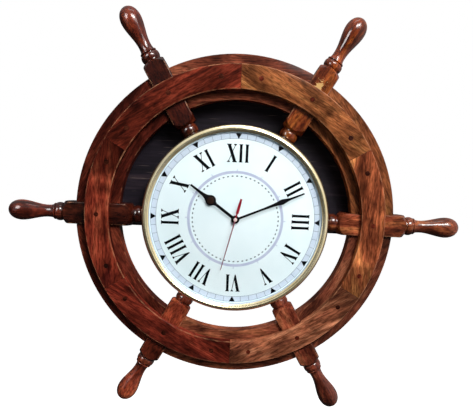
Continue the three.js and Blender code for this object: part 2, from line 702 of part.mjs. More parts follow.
// Screw holes in the case flange
function caseHoles() {
  const back = HUB_FRONT_DEPTH - CUT_MARGIN;
  const hole = disc(CASE_HOLE_RADIUS, back, CASE_FLANGE_TOP + CUT_MARGIN, SCREW_FACETS);
  return spread(
    hole.translate((CASE_RADIUS + CASE_FLANGE_RADIUS) / 2, 0, 0),
    CASE_HOLE_COUNT,
    CASE_HOLE_START,
  );
}

function hubFrontGeometry() {
  const body = turned(
    [
      [HUB_BORE_RADIUS, 0],
      [HUB_RADIUS, 0],
      [HUB_RADIUS, HUB_FRONT_DEPTH],
      [RECESS_RADIUS, HUB_FRONT_DEPTH],
      [RECESS_RADIUS, RECESS_FLOOR],
      [HUB_BORE_RADIUS, RECESS_FLOOR],
    ],
    CLOCK_FACETS,
  );
  return cut(
    body,
    ...spread(tenonSocket(), SPOKE_COUNT),
    ...spread(hubScrew(FIT_GAP), HUB_SCREW_COUNT, HALF_SECTOR),
  );
}

function hubBackGeometry() {
  const body = tube(HUB_BORE_RADIUS, HUB_RADIUS, RIM_BACK, 0, CLOCK_FACETS);
  return cut(
    body,
    ...spread(tenonSocket(), SPOKE_COUNT),
    ...spread(hubScrew(FIT_GAP), HUB_SCREW_COUNT, HALF_SECTOR),
  );
}

// Thin dark panel that closes the upper windows from behind
function panelShape() {
  const outer = flatRadius(RING_INNER_RADIUS, RIM_FACETS) - FIT_GAP;
  const inner = HUB_RADIUS + FIT_GAP;
  const outerEnd = Math.asin(PANEL_BOTTOM / outer);
  const innerEnd = Math.asin(PANEL_BOTTOM / inner);
  const shape = new THREE.Shape();
  shape.moveTo(outer * Math.cos(outerEnd), PANEL_BOTTOM);
  shape.absarc(0, 0, outer, outerEnd, Math.PI - outerEnd, false);
  shape.lineTo(-inner * Math.cos(innerEnd), PANEL_BOTTOM);
  shape.absarc(0, 0, inner, Math.PI - innerEnd, innerEnd, true);
  return shape;
}

// The panel is screwed to every spoke that it crosses, from the right one round to the left one.
function panelGeometry() {
  const hole = disc(PANEL_HOLE_RADIUS, PANEL_BACK - CUT_MARGIN, PANEL_FRONT + CUT_MARGIN, SCREW_FACETS);
  hole.translate((BLOCK_INNER + CORE_INNER_RADIUS) / 2, 0, 0);
  const holes = spread(hole, SPOKE_COUNT).slice(0, SPOKE_COUNT / 2 + 1);
  return cut(plate(panelShape(), PANEL_BACK, PANEL_FRONT, PANEL_CURVE_STEPS), ...holes);
}

// Clock case: a shallow metal pan with a flange that is screwed to the hub under the bezel
function caseGeometry() {
  const body = turned(
    [
      [BUSH_RADIUS + FIT_GAP, RECESS_FLOOR],
      [CASE_RADIUS, RECESS_FLOOR],
      [CASE_RADIUS, HUB_FRONT_DEPTH],
      [CASE_FLANGE_RADIUS, HUB_FRONT_DEPTH],
      [CASE_FLANGE_RADIUS, CASE_FLANGE_TOP],
      [CASE_INSIDE_RADIUS, CASE_FLANGE_TOP],
      [CASE_INSIDE_RADIUS, DIAL_BACK],
      [BUSH_RADIUS + FIT_GAP, DIAL_BACK],
    ],
    CLOCK_FACETS,
  );
  return cut(body, ...caseHoles());
}

// Bezel: a ring with a rounded crest, a skirt over the case flange and a lip over the glass
function bezelGeometry() {
  const channelTop = CASE_FLANGE_TOP + SCREW_HEAD_ROOM;
  const channelOuter = CASE_FLANGE_RADIUS + FIT_GAP;
  const skirtTop = HUB_FRONT_DEPTH + BEZEL_SKIRT_HEIGHT;
  const lipTop = GLASS_FRONT + BEZEL_LIP;
  const crest = GLASS_FRONT + BEZEL_CREST_HEIGHT;
  const section = new THREE.Path();
  section.moveTo(CASE_INSIDE_RADIUS, GLASS_FRONT);
  section.lineTo(CASE_INSIDE_RADIUS, channelTop);
  section.lineTo(channelOuter, channelTop);
  section.lineTo(channelOuter, HUB_FRONT_DEPTH);
  section.lineTo(BEZEL_RADIUS, HUB_FRONT_DEPTH);
  section.lineTo(BEZEL_RADIUS, skirtTop);
  section.quadraticCurveTo(BEZEL_RADIUS, crest, BEZEL_RADIUS - BEZEL_CREST_WIDTH, crest);
  section.quadraticCurveTo(BEZEL_OPENING_RADIUS + BEZEL_LIP, crest, BEZEL_OPENING_RADIUS, lipTop);
  section.lineTo(BEZEL_OPENING_RADIUS, GLASS_FRONT);
  return turned(section.getPoints(BEZEL_STEPS).map((point) => point.toArray()), CLOCK_FACETS);
}

function glassGeometry() {
  return disc(DIAL_RADIUS, GLASS_BACK, GLASS_FRONT, CLOCK_FACETS);
}

// White ring that holds the glass off the dial
function spacerGeometry() {
  return tube(DIAL_RADIUS - SPACER_WALL, DIAL_RADIUS, DIAL_FACE, GLASS_BACK, CLOCK_FACETS);
}

function dialGeometry() {
  return tube(BUSH_RADIUS + FIT_GAP, DIAL_RADIUS, DIAL_BACK, DIAL_FACE, CLOCK_FACETS);
}

// Hands, drawn pointing to twelve
function hourHandGeometry() {
  const half = HOUR_SHAFT_WIDTH / 2;
  const low = HOUR_BULB_PLACE - HOUR_BULB_RADIUS;
  const high = HOUR_BULB_PLACE + HOUR_BULB_RADIUS;
  const shoulder = HOUR_BULB_PLACE + HOUR_BULB_SHOULDER;
  const shape = new THREE.Shape();
  shape.moveTo(-half, 0);
  shape.lineTo(half, 0);
  shape.lineTo(half, low);
  shape.bezierCurveTo(HOUR_BULB_BELLY, low, HOUR_BULB_RADIUS, high, half, shoulder);
  shape.lineTo(0, HOUR_HAND_LENGTH);
  shape.lineTo(-half, shoulder);
  shape.bezierCurveTo(-HOUR_BULB_RADIUS, high, -HOUR_BULB_BELLY, low, -half, low);
  const front = HOUR_HAND_LEVEL + HAND_THICKNESS;
  const blade = plate(shape, HOUR_HAND_LEVEL, front, BULB_STEPS);
  const eye = disc(HOUR_HUB_RADIUS, HOUR_HAND_LEVEL, front, SMALL_ROUND_FACETS);
  return cut(join(blade, eye), handBore(HOUR_TUBE_RADIUS)).rotateZ(degToRad(-HOUR_HAND_ANGLE));
}

// The hole that lets a hand over the tube that carries it
function handBore(tubeRadius) {
  return disc(tubeRadius + FIT_GAP, DIAL_FACE, GLASS_BACK, SMALL_ROUND_FACETS);
}

function minuteHandGeometry() {
  const half = MINUTE_SHAFT_WIDTH / 2;
  const neck = MINUTE_NECK_WIDTH / 2;
  const bulge = MINUTE_BULGE_WIDTH / 2;
  const shape = outline([
    [-half, 0],
    [half, 0],
    [half, MINUTE_BULGE_PLACE - MINUTE_BULGE_REACH],
    [bulge, MINUTE_BULGE_PLACE],
    [neck, MINUTE_BULGE_PLACE + MINUTE_BULGE_REACH],
    [0, MINUTE_HAND_LENGTH],
    [-neck, MINUTE_BULGE_PLACE + MINUTE_BULGE_REACH],
    [-bulge, MINUTE_BULGE_PLACE],
    [-half, MINUTE_BULGE_PLACE - MINUTE_BULGE_REACH],
  ]);
  const front = MINUTE_HAND_LEVEL + HAND_THICKNESS;
  const blade = plate(shape, MINUTE_HAND_LEVEL, front);
  const eye = disc(MINUTE_HUB_RADIUS, MINUTE_HAND_LEVEL, front, SMALL_ROUND_FACETS);
  return cut(join(blade, eye), handBore(CANNON_RADIUS)).rotateZ(degToRad(-MINUTE_HAND_ANGLE));
}

// The second hand's thick tail points away from its needle, and its cap closes the stack.
function secondHandGeometry() {
  const tail = SECOND_TAIL_WIDTH / 2;
  const needle = SECOND_NEEDLE_WIDTH / 2;
  const tip = SECOND_TIP_WIDTH / 2;
  const shape = outline([
    [-tail, -SECOND_TAIL_LENGTH],
    [tail, -SECOND_TAIL_LENGTH],
    [tail, -SECOND_TAIL_START],
    [needle, -SECOND_TAIL_START],
    [tip, SECOND_HAND_LENGTH],
    [-tip, SECOND_HAND_LENGTH],
    [-needle, -SECOND_TAIL_START],
    [-tail, -SECOND_TAIL_START],
  ]);
  const front = SECOND_HAND_LEVEL + SECOND_HAND_THICKNESS;
  const cap = disc(SECOND_CAP_RADIUS, SECOND_HAND_LEVEL, front + SECOND_CAP_HEIGHT, SMALL_ROUND_FACETS);
  return join(plate(shape, SECOND_HAND_LEVEL, front), cap).rotateZ(degToRad(-SECOND_HAND_ANGLE));
}

function washerGeometry() {
  const front = DIAL_FACE + WASHER_THICKNESS;
  return tube(BUSH_RADIUS + FIT_GAP, WASHER_RADIUS, DIAL_FACE, front, SMALL_ROUND_FACETS);
}

function nutGeometry() {
  const back = DIAL_FACE + WASHER_THICKNESS;
  const front = back + NUT_THICKNESS;
  const bore = disc(BUSH_RADIUS + FIT_GAP, back - CUT_MARGIN, front + CUT_MARGIN, SMALL_ROUND_FACETS);
  return cut(disc(NUT_RADIUS, back, front, NUT_SIDES), bore);
}

// Wheel train. Directions are counterclockwise from X, as seen from the front.
const pitchRadius = (teeth, size) => (teeth * size) / 2;
const CENTRE_DISTANCE = pitchRadius(CENTRE_WHEEL_TEETH + THIRD_PINION_TEETH, CENTRE_MODULE);
const THIRD_MODULE = (2 * CENTRE_DISTANCE) / (THIRD_WHEEL_TEETH + SECOND_PINION_TEETH);
const THIRD_PLACE = polar(CENTRE_DISTANCE, THIRD_DIRECTION);
const INTERMEDIATE_PLACE = polar(
  pitchRadius(SECOND_WHEEL_TEETH + INTERMEDIATE_PINION_TEETH, INTERMEDIATE_MODULE),
  INTERMEDIATE_DIRECTION,
);
const ROTOR_PLACE = polar(
  pitchRadius(INTERMEDIATE_WHEEL_TEETH + ROTOR_PINION_TEETH, ROTOR_MODULE),
  ROTOR_DIRECTION,
).add(INTERMEDIATE_PLACE);
const MOTION_DISTANCE = pitchRadius(CANNON_PINION_TEETH + MINUTE_WHEEL_TEETH, MOTION_MODULE);
const HOUR_MODULE = (2 * MOTION_DISTANCE) / (MINUTE_PINION_TEETH + HOUR_WHEEL_TEETH);
const MINUTE_WHEEL_PLACE = polar(MOTION_DISTANCE, MINUTE_WHEEL_DIRECTION);
const SETTING_PLACE = polar(
  pitchRadius(MINUTE_WHEEL_TEETH + SETTING_PINION_TEETH, MOTION_MODULE),
  SETTING_DIRECTION,
).add(MINUTE_WHEEL_PLACE);

// The turn that sets a wheel's gap against its neighbour's tooth, when the neighbour has turned by a phase.
function meshPhase(neighbourPhase, neighbourTeeth, teeth, direction) {
  const neighbourStep = 360 / neighbourTeeth;
  const step = 360 / teeth;
  const offset = (neighbourPhase - direction) / neighbourStep;
  return direction + 180 + step * (0.5 - offset);
}

// A disc with pointed teeth on straight flanks, one of them on the phase angle.
function toothed(teeth, size, phase, back, front) {
  const step = 360 / teeth;
  const tip = pitchRadius(teeth, size) + ADDENDUM * size;
  const root = pitchRadius(teeth, size) - DEDENDUM * size;
  const points = [];
  for (let i = 0; i < teeth; i += 1) {
    const middle = phase + i * step;
    points.push(
      polar(root, middle - ROOT_HALF_SHARE * step),
      polar(tip, middle),
      polar(root, middle + ROOT_HALF_SHARE * step),
    );
  }
  return plate(new THREE.Shape(points), back, front);
}

// A thin rod or bore with few facets, such as an arbor, its pivots and the holes that they run in.
function arbor(radius, back, front) {
  return disc(radius, back, front, ARBOR_FACETS);
}

function centreWheelGeometry() {
  const wheel = toothed(CENTRE_WHEEL_TEETH, CENTRE_MODULE, 0, CENTRE_WHEEL_BACK, CENTRE_WHEEL_FRONT);
  const pinionBack = MINUTE_WHEEL_BACK - FIT_GAP / 2;
  const pinionFront = MINUTE_WHEEL_FRONT + FIT_GAP / 2;
  const pinion = toothed(CANNON_PINION_TEETH, MOTION_MODULE, 0, pinionBack, pinionFront);
  const pipe = arbor(CANNON_RADIUS, CENTRE_WHEEL_BACK, MINUTE_HAND_LEVEL + HAND_THICKNESS);
  const bore = arbor(CANNON_BORE, CENTRE_WHEEL_BACK - CUT_MARGIN, SECOND_HAND_LEVEL);
  return cut(join(wheel, pinion, pipe), bore);
}

function thirdWheelGeometry() {
  const wheelPhase = meshPhase(0, SECOND_PINION_TEETH, THIRD_WHEEL_TEETH, THIRD_DIRECTION);
  const pinionPhase = meshPhase(0, CENTRE_WHEEL_TEETH, THIRD_PINION_TEETH, THIRD_DIRECTION);
  const wheelBack = THIRD_WHEEL_FRONT - WHEEL_THICKNESS;
  return join(
    toothed(THIRD_WHEEL_TEETH, THIRD_MODULE, wheelPhase, wheelBack, THIRD_WHEEL_FRONT),
    toothed(
      THIRD_PINION_TEETH,
      CENTRE_MODULE,
      pinionPhase,
      CENTRE_WHEEL_BACK,
      CENTRE_WHEEL_BACK + PINION_THICKNESS,
    ),
    arbor(ARBOR_RADIUS, SHOULDER_BACK, SHOULDER_FRONT),
    arbor(PIVOT_RADIUS, PIVOT_BACK, PIVOT_FRONT),
  );
}

function secondWheelGeometry() {
  return join(
    toothed(SECOND_PINION_TEETH, THIRD_MODULE, 0, SECOND_PINION_BACK, SECOND_PINION_FRONT),
    toothed(SECOND_WHEEL_TEETH, INTERMEDIATE_MODULE, 0, SECOND_WHEEL_BACK, SECOND_WHEEL_FRONT),
    arbor(ARBOR_RADIUS, SHOULDER_BACK, SECOND_HAND_LEVEL),
    arbor(PIVOT_RADIUS, PIVOT_BACK, SHOULDER_BACK + CUT_MARGIN),
  );
}

function intermediateWheelGeometry() {
  const pinionPhase = meshPhase(0, SECOND_WHEEL_TEETH, INTERMEDIATE_PINION_TEETH, INTERMEDIATE_DIRECTION);
  const pinionBack = INTERMEDIATE_WHEEL_FRONT;
  return join(
    toothed(
      INTERMEDIATE_PINION_TEETH,
      INTERMEDIATE_MODULE,
      pinionPhase,
      pinionBack,
      SECOND_WHEEL_FRONT + FIT_GAP,
    ),
    toothed(INTERMEDIATE_WHEEL_TEETH, ROTOR_MODULE, 0, INTERMEDIATE_WHEEL_BACK, INTERMEDIATE_WHEEL_FRONT),
    arbor(ARBOR_RADIUS, SHOULDER_BACK, BRIDGE_BACK - FIT_GAP),
    arbor(PIVOT_RADIUS, PIVOT_BACK, BRIDGE_FRONT - FIT_GAP / 2),
  );
}

function rotorGeometry() {
  const phase = meshPhase(0, INTERMEDIATE_WHEEL_TEETH, ROTOR_PINION_TEETH, ROTOR_DIRECTION);
  const front = ROTOR_PINION_BACK + PINION_THICKNESS;
  return join(
    toothed(ROTOR_PINION_TEETH, ROTOR_MODULE, phase, ROTOR_PINION_BACK, front),
    arbor(ARBOR_RADIUS, SHOULDER_BACK, BRIDGE_BACK - FIT_GAP),
    arbor(PIVOT_RADIUS, PIVOT_BACK, BRIDGE_FRONT - FIT_GAP / 2),
  );
}

// The ring magnet that is pressed on the rotor's pinion
function magnetGeometry() {
  return tube(ARBOR_RADIUS + FIT_GAP, ROTOR_MAGNET_RADIUS, MAGNET_BACK, MAGNET_FRONT, SMALL_ROUND_FACETS);
}

function minuteWheelGeometry() {
  const wheelPhase = meshPhase(0, CANNON_PINION_TEETH, MINUTE_WHEEL_TEETH, MINUTE_WHEEL_DIRECTION);
  const wheel = toothed(
    MINUTE_WHEEL_TEETH,
    MOTION_MODULE,
    wheelPhase,
    MINUTE_WHEEL_BACK,
    MINUTE_WHEEL_FRONT,
  );
  const pinion = toothed(MINUTE_PINION_TEETH, HOUR_MODULE, 0, MINUTE_WHEEL_FRONT, HOUR_WHEEL_FRONT);
  const bore = arbor(ARBOR_RADIUS + FIT_GAP, MINUTE_WHEEL_BACK - CUT_MARGIN, TRAIN_FRONT);
  return cut(join(wheel, pinion), bore);
}

function hourWheelGeometry() {
  const phase = meshPhase(0, MINUTE_PINION_TEETH, HOUR_WHEEL_TEETH, MINUTE_WHEEL_DIRECTION + 180);
  const wheel = toothed(HOUR_WHEEL_TEETH, HOUR_MODULE, phase, HOUR_WHEEL_BACK, HOUR_WHEEL_FRONT);
  const pipe = arbor(HOUR_TUBE_RADIUS, HOUR_WHEEL_BACK, HOUR_HAND_LEVEL + HAND_THICKNESS);
  const bore = arbor(HOUR_BORE, HOUR_WHEEL_BACK - CUT_MARGIN, MINUTE_HAND_LEVEL);
  return cut(join(wheel, pipe), bore);
}

// Setting knob: a ribbed knob behind the cover on a shaft whose pinion turns the minute wheel
function settingKnobGeometry() {
  const wheelPhase = meshPhase(0, CANNON_PINION_TEETH, MINUTE_WHEEL_TEETH, MINUTE_WHEEL_DIRECTION);
  const phase = meshPhase(wheelPhase, MINUTE_WHEEL_TEETH, SETTING_PINION_TEETH, SETTING_DIRECTION);
  const knobFront = MOVEMENT_BACK - COVER_THICKNESS - FIT_GAP;
  const ribs = [];
  for (let i = 0; i < 2 * KNOB_RIBS; i += 1) {
    ribs.push(polar(KNOB_RADIUS - (i % 2) * KNOB_RIB_DEPTH, (i * 180) / KNOB_RIBS));
  }
  return join(
    plate(new THREE.Shape(ribs), knobFront - KNOB_HEIGHT, knobFront),
    arbor(SETTING_SHAFT_RADIUS, knobFront - CUT_MARGIN, SHOULDER_FRONT),
    arbor(PIVOT_RADIUS, SHOULDER_FRONT - CUT_MARGIN, PIVOT_FRONT),
    toothed(SETTING_PINION_TEETH, MOTION_MODULE, phase, MINUTE_WHEEL_BACK, MINUTE_WHEEL_FRONT),
  );
}

// Places of the posts that carry the bridge, the motor and the board
const BRIDGE_POST_X = TRAIN_SIDE - POST_RADIUS / 2;
const BRIDGE_POSTS = [
  [-BRIDGE_POST_X, TRAIN_BOTTOM + POST_RADIUS / 2],
  [BRIDGE_POST_X, TRAIN_BOTTOM + POST_RADIUS / 2],
  [-BRIDGE_POST_X, BRIDGE_TOP - POST_RADIUS],
  [BRIDGE_POST_X, BRIDGE_TOP - POST_RADIUS],
];
const COIL_X = ROTOR_PLACE.x;
const STATOR_SPAN = COIL_LENGTH / 2 + FIT_GAP + STATOR_ARM_WIDTH;
const STATOR_POSTS = [-1, 1].map((side) => [
  COIL_X + side * (STATOR_SPAN - STATOR_ARM_WIDTH / 2),
  COIL_HEIGHT,
]);
const BOARD_X = -TRAIN_SIDE + FIT_GAP + BOARD_LENGTH / 2;
const BOARD_Y = MOVEMENT_HALF - MOVEMENT_WALL - FIT_GAP - BOARD_WIDTH / 2;
const BOARD_POSTS = [-1, 1].map((side) => [
  BOARD_X + side * (BOARD_LENGTH / 2 - SMALL_POST_RADIUS),
  BOARD_Y,
]);

function roundedSquare(width, corner) {
  const half = width / 2;
  const flat = half - corner;
  const shape = new THREE.Shape();
  shape.moveTo(-flat, -half);
  shape.absarc(flat, -flat, corner, -Math.PI / 2, 0, false);
  shape.absarc(flat, flat, corner, 0, Math.PI / 2, false);
  shape.absarc(-flat, flat, corner, Math.PI / 2, Math.PI, false);
  shape.absarc(-flat, -flat, corner, Math.PI, Math.PI * 1.5, false);
  return shape;
}

function post(radius, back, [x, y]) {
  return disc(radius, back, TRAIN_FRONT + MOVEMENT_WALL / 2, ARBOR_FACETS).translate(x, y, 0);
}

function pivotHole(place, back) {
  const front = back + PIVOT_HOLE_DEPTH + CUT_MARGIN;
  return arbor(PIVOT_RADIUS + FIT_GAP, back, front).translate(place.x, place.y, 0);
}

// Movement housing: a moulded cup with a room for the train, a bay for the battery and a threaded bush
function housingGeometry() {
  const square = roundedSquare(MOVEMENT_WIDTH, MOVEMENT_CORNER);
  const shell = plate(square, MOVEMENT_BACK, MOVEMENT_FRONT, MOVEMENT_CORNER_STEPS);
  const back = MOVEMENT_BACK - CUT_MARGIN;
  const room = box(2 * TRAIN_SIDE, TRAIN_HEIGHT, back, TRAIN_FRONT, 0, TRAIN_Y);
  const bay = box(BAY_LENGTH, 2 * BATTERY_BAY_HALF, back, TRAIN_FRONT, 0, BATTERY_Y);
  const bush = disc(BUSH_RADIUS, TRAIN_FRONT + MOVEMENT_WALL / 2, BUSH_TOP, SMALL_ROUND_FACETS);
  const stud = arbor(ARBOR_RADIUS, MINUTE_WHEEL_BACK, MOVEMENT_FRONT - MOVEMENT_WALL / 2);
  const body = join(
    cut(shell, room, bay),
    bush,
    stud.translate(MINUTE_WHEEL_PLACE.x, MINUTE_WHEEL_PLACE.y, 0),
    ...BRIDGE_POSTS.map((place) => post(POST_RADIUS, BRIDGE_FRONT, place)),
    ...STATOR_POSTS.map((place) => post(SMALL_POST_RADIUS, STATOR_FRONT, place)),
    ...BOARD_POSTS.map((place) => post(SMALL_POST_RADIUS, BOARD_LEVEL, place)),
  );
  return cut(
    body,
    disc(BUSH_BORE, TRAIN_FRONT - CUT_MARGIN, BUSH_TOP + CUT_MARGIN, SMALL_ROUND_FACETS),
    pivotHole(THIRD_PLACE, TRAIN_FRONT - CUT_MARGIN),
    pivotHole(SETTING_PLACE, TRAIN_FRONT - CUT_MARGIN),
  );
}

// Back cover over the train, with bearings for the arbors and a hole for the setting shaft
function coverGeometry() {
  const height = MOVEMENT_HALF - TRAIN_BOTTOM + MOVEMENT_WALL / 2;
  const back = MOVEMENT_BACK - COVER_THICKNESS;
  const body = box(MOVEMENT_WIDTH, height, back, MOVEMENT_BACK, 0, MOVEMENT_HALF - height / 2);
  const origin = new THREE.Vector2();
  const shaft = arbor(SETTING_SHAFT_RADIUS + FIT_GAP, back - CUT_MARGIN, MOVEMENT_BACK + CUT_MARGIN);
  return cut(
    body,
    shaft.translate(SETTING_PLACE.x, SETTING_PLACE.y, 0),
    ...[origin, THIRD_PLACE, INTERMEDIATE_PLACE, ROTOR_PLACE].map((place) =>
      pivotHole(place, MOVEMENT_BACK - PIVOT_HOLE_DEPTH),
    ),
  );
}

// Bridge between the going train and the motion work
function bridgeGeometry() {
  const height = BRIDGE_TOP - TRAIN_BOTTOM - FIT_GAP;
  const width = 2 * (TRAIN_SIDE - FIT_GAP);
  const y = TRAIN_BOTTOM + FIT_GAP + height / 2;
  const body = box(width, height, BRIDGE_BACK, BRIDGE_FRONT, 0, y);
  const back = BRIDGE_BACK - CUT_MARGIN;
  const front = BRIDGE_FRONT + CUT_MARGIN;
  const hole = (radius, place) => arbor(radius + FIT_GAP, back, front).translate(place.x, place.y, 0);
  return cut(
    body,
    hole(ARBOR_RADIUS, new THREE.Vector2()),
    hole(ARBOR_RADIUS, THIRD_PLACE),
    hole(PIVOT_RADIUS, INTERMEDIATE_PLACE),
    hole(PIVOT_RADIUS, ROTOR_PLACE),
    hole(SETTING_SHAFT_RADIUS, SETTING_PLACE),
  );
}

// Step motor: a soft iron stator round the rotor's magnet, with a coil on a bar across its arms
function statorGeometry() {
  const lobe = ROTOR_MAGNET_RADIUS + STATOR_ROTOR_GAP + STATOR_MARGIN;
  const armBottom = COIL_HEIGHT - COIL_FLANGE_RADIUS - FIT_GAP - STATOR_MARGIN;
  const armTop = COIL_HEIGHT + CORE_BAR_WIDTH / 2 + FIT_GAP;
  const armInside = STATOR_SPAN - STATOR_ARM_WIDTH;
  const shape = outline([
    [COIL_X - lobe, ROTOR_PLACE.y - lobe],
    [COIL_X + lobe, ROTOR_PLACE.y - lobe],
    [COIL_X + lobe, armBottom],
    [COIL_X + STATOR_SPAN, armBottom],
    [COIL_X + STATOR_SPAN, armTop],
    [COIL_X + armInside, armTop],
    [COIL_X + armInside, armBottom + STATOR_MARGIN],
    [COIL_X - armInside, armBottom + STATOR_MARGIN],
    [COIL_X - armInside, armTop],
    [COIL_X - STATOR_SPAN, armTop],
    [COIL_X - STATOR_SPAN, armBottom],
    [COIL_X - lobe, armBottom],
  ]);
  const hole = ROTOR_MAGNET_RADIUS + STATOR_ROTOR_GAP;
  const opening = disc(hole, STATOR_BACK - CUT_MARGIN, STATOR_FRONT + CUT_MARGIN, SMALL_ROUND_FACETS);
  return cut(
    plate(shape, STATOR_BACK, STATOR_FRONT),
    opening.translate(ROTOR_PLACE.x, ROTOR_PLACE.y, 0),
  );
}

function coreBarGeometry() {
  const back = STATOR_BACK - CORE_BAR_THICKNESS;
  return box(2 * STATOR_SPAN, CORE_BAR_WIDTH, back, STATOR_BACK, COIL_X, COIL_HEIGHT);
}

function coilGeometry() {
  const half = COIL_LENGTH / 2;
  const inside = half - COIL_FLANGE_THICKNESS;
  const level = STATOR_BACK - CORE_BAR_THICKNESS / 2;
  const bobbin = turned(
    [
      [0, -half],
      [COIL_FLANGE_RADIUS, -half],
      [COIL_FLANGE_RADIUS, -inside],
      [COIL_WINDING_RADIUS, -inside],
      [COIL_WINDING_RADIUS, inside],
      [COIL_FLANGE_RADIUS, inside],
      [COIL_FLANGE_RADIUS, half],
      [0, half],
    ],
    COIL_FACETS,
  ).rotateY(Math.PI / 2);
  const slotHeight = CORE_BAR_THICKNESS / 2 + FIT_GAP;
  const slot = box(COIL_LENGTH + 2 * CUT_MARGIN, CORE_BAR_WIDTH + 2 * FIT_GAP, -slotHeight, slotHeight);
  return cut(bobbin, slot).translate(COIL_X, COIL_HEIGHT, level);
}

function boardGeometry() {
  const back = BOARD_LEVEL - BOARD_THICKNESS;
  const slab = box(BOARD_LENGTH, BOARD_WIDTH, back, BOARD_LEVEL, BOARD_X, BOARD_Y);
  const chip = disc(CHIP_RADIUS, back + BOARD_THICKNESS / 2, BOARD_LEVEL + CHIP_HEIGHT, COIL_FACETS);
  return join(slab, chip.translate(BOARD_X + CHIP_SHIFT, BOARD_Y, 0));
}

function crystalGeometry() {
  const half = CRYSTAL_LENGTH / 2;
  const can = disc(CRYSTAL_RADIUS, -half, half, SCREW_FACETS).rotateY(Math.PI / 2);
  const level = BOARD_LEVEL + CRYSTAL_RADIUS + FIT_GAP;
  return can.translate(BOARD_X + CRYSTAL_SHIFT, BOARD_Y, level);
}

// Battery, lying across the bottom of the movement with its positive end to the right
function batteryGeometry() {
  const left = -BATTERY_LENGTH / 2;
  const shoulder = left + BATTERY_BODY_LENGTH;
  return turned(
    [
      [0, left],
      [BATTERY_RADIUS, left],
      [BATTERY_RADIUS, shoulder],
      [BATTERY_NUB_RADIUS, shoulder],
      [BATTERY_NUB_RADIUS, shoulder + BATTERY_NUB_LENGTH],
      [0, shoulder + BATTERY_NUB_LENGTH],
    ],
    SMALL_ROUND_FACETS,
  )
    .rotateY(Math.PI / 2)
    .translate(0, BATTERY_Y, BATTERY_LEVEL);
}

function contactGeometry(side) {
  const x = side * (BAY_LENGTH / 2 - FIT_GAP - CONTACT_THICKNESS / 2);
  const back = BATTERY_LEVEL - CONTACT_HEIGHT / 2;
  return box(CONTACT_THICKNESS, CONTACT_WIDTH, back, back + CONTACT_HEIGHT, x, BATTERY_Y);
}

// Assembly
const clock = new THREE.Group();
clock.name = "ships_wheel_clock";
const standing = new THREE.Group();
standing.rotation.x = Math.PI / 2;
clock.add(standing);

function add(name, geometry, finish, place = new THREE.Vector2(), angle = 0) {
  geometry.computeVertexNormals();
  const material = new THREE.MeshStandardMaterial({ name: finish, ...FINISHES[finish] });
  const mesh = new THREE.Mesh(geometry, material);
  mesh.name = name;
  mesh.position.set(place.x, place.y, 0);
  mesh.rotation.z = degToRad(angle);
  standing.add(mesh);
}

// Spokes and the segments centred on them, counterclockwise from the right
const SPOKE_SIDES = ["right", "top_right", "top_left", "left", "bottom_left", "bottom_right"];
const RING_FINISHES = ["redBrown", "goldenBrown", "mahogany", "redBrown", "redBrown", "mahogany"];
const CORE_SIDES = ["upper_right", "top", "upper_left", "lower_left", "bottom", "lower_right"];
const BACK_SIDES = ["top", "left", "right"];

const spoke = spokeGeometry();
const core = coreRing();
const front = frontRing();
const back = backRing();
for (let i = 0; i < SPOKE_COUNT; i += 1) {
  const angle = i * SECTOR;
  add(`spoke_${SPOKE_SIDES[i]}`, spoke, "mahogany", new THREE.Vector2(), angle);
  add(`ring_front_${SPOKE_SIDES[i]}`, common(front, wedge(angle, SECTOR)), RING_FINISHES[i]);
  add(`rim_core_${CORE_SIDES[i]}`, common(core, wedge(angle + HALF_SECTOR, SECTOR)), "darkWood");
}
for (let i = 0; i < BACK_RING_SEGMENTS; i += 1) {
  add(`ring_back_${BACK_SIDES[i]}`, common(back, wedge(90 + i * BACK_SECTOR, BACK_SECTOR)), "darkWood");
}
add("hub_front", hubFrontGeometry(), "darkWood");
add("hub_back", hubBackGeometry(), "darkWood");
spread(hubScrew(), HUB_SCREW_COUNT, HALF_SECTOR).forEach((screw, i) => {
  add(`hub_screw_${i + 1}`, screw, "steel");
});
add("back_panel", panelGeometry(), "charcoalStain");
add("hanger", hangerGeometry(), "steel");
atHangerScrews(hangerScrew()).forEach((screw, i) => {
  add(`hanger_screw_${i + 1}`, screw, "steel");
});

add("clock_case", caseGeometry(), "caseBrass");
add("bezel", bezelGeometry(), "champagneBrass");
add("glass", glassGeometry(), "glass");
add("glass_spacer", spacerGeometry(), "whitePlastic");
add("dial", dialGeometry(), "dialWhite");
add("washer", washerGeometry(), "handBlack");
add("nut", nutGeometry(), "handBlack");
add("hour_hand", hourHandGeometry(), "handBlack");
add("minute_hand", minuteHandGeometry(), "handBlack");
add("second_hand", secondHandGeometry(), "handRed");

add("movement_housing", housingGeometry(), "blackPlastic");
add("movement_cover", coverGeometry(), "blackPlastic");
add("train_bridge", bridgeGeometry(), "whitePlastic");
add("centre_wheel", centreWheelGeometry(), "whitePlastic");
add("third_wheel", thirdWheelGeometry(), "whitePlastic", THIRD_PLACE);
add("second_wheel", secondWheelGeometry(), "whitePlastic");
add("intermediate_wheel", intermediateWheelGeometry(), "whitePlastic", INTERMEDIATE_PLACE);
add("rotor_pinion", rotorGeometry(), "whitePlastic", ROTOR_PLACE);
add("rotor_magnet", magnetGeometry(), "magnetGrey", ROTOR_PLACE);
add("minute_wheel", minuteWheelGeometry(), "whitePlastic", MINUTE_WHEEL_PLACE);
add("hour_wheel", hourWheelGeometry(), "whitePlastic");
add("setting_knob", settingKnobGeometry(), "whitePlastic", SETTING_PLACE);
add("stator", statorGeometry(), "steel");
add("coil_core", coreBarGeometry(), "steel");
add("coil", coilGeometry(), "copper");
add("circuit_board", boardGeometry(), "boardGreen");
add("quartz_crystal", crystalGeometry(), "steel");
add("battery", batteryGeometry(), "batteryJacket");
add("contact_positive", contactGeometry(1), "steel");
add("contact_negative", contactGeometry(-1), "steel");

export default clock;
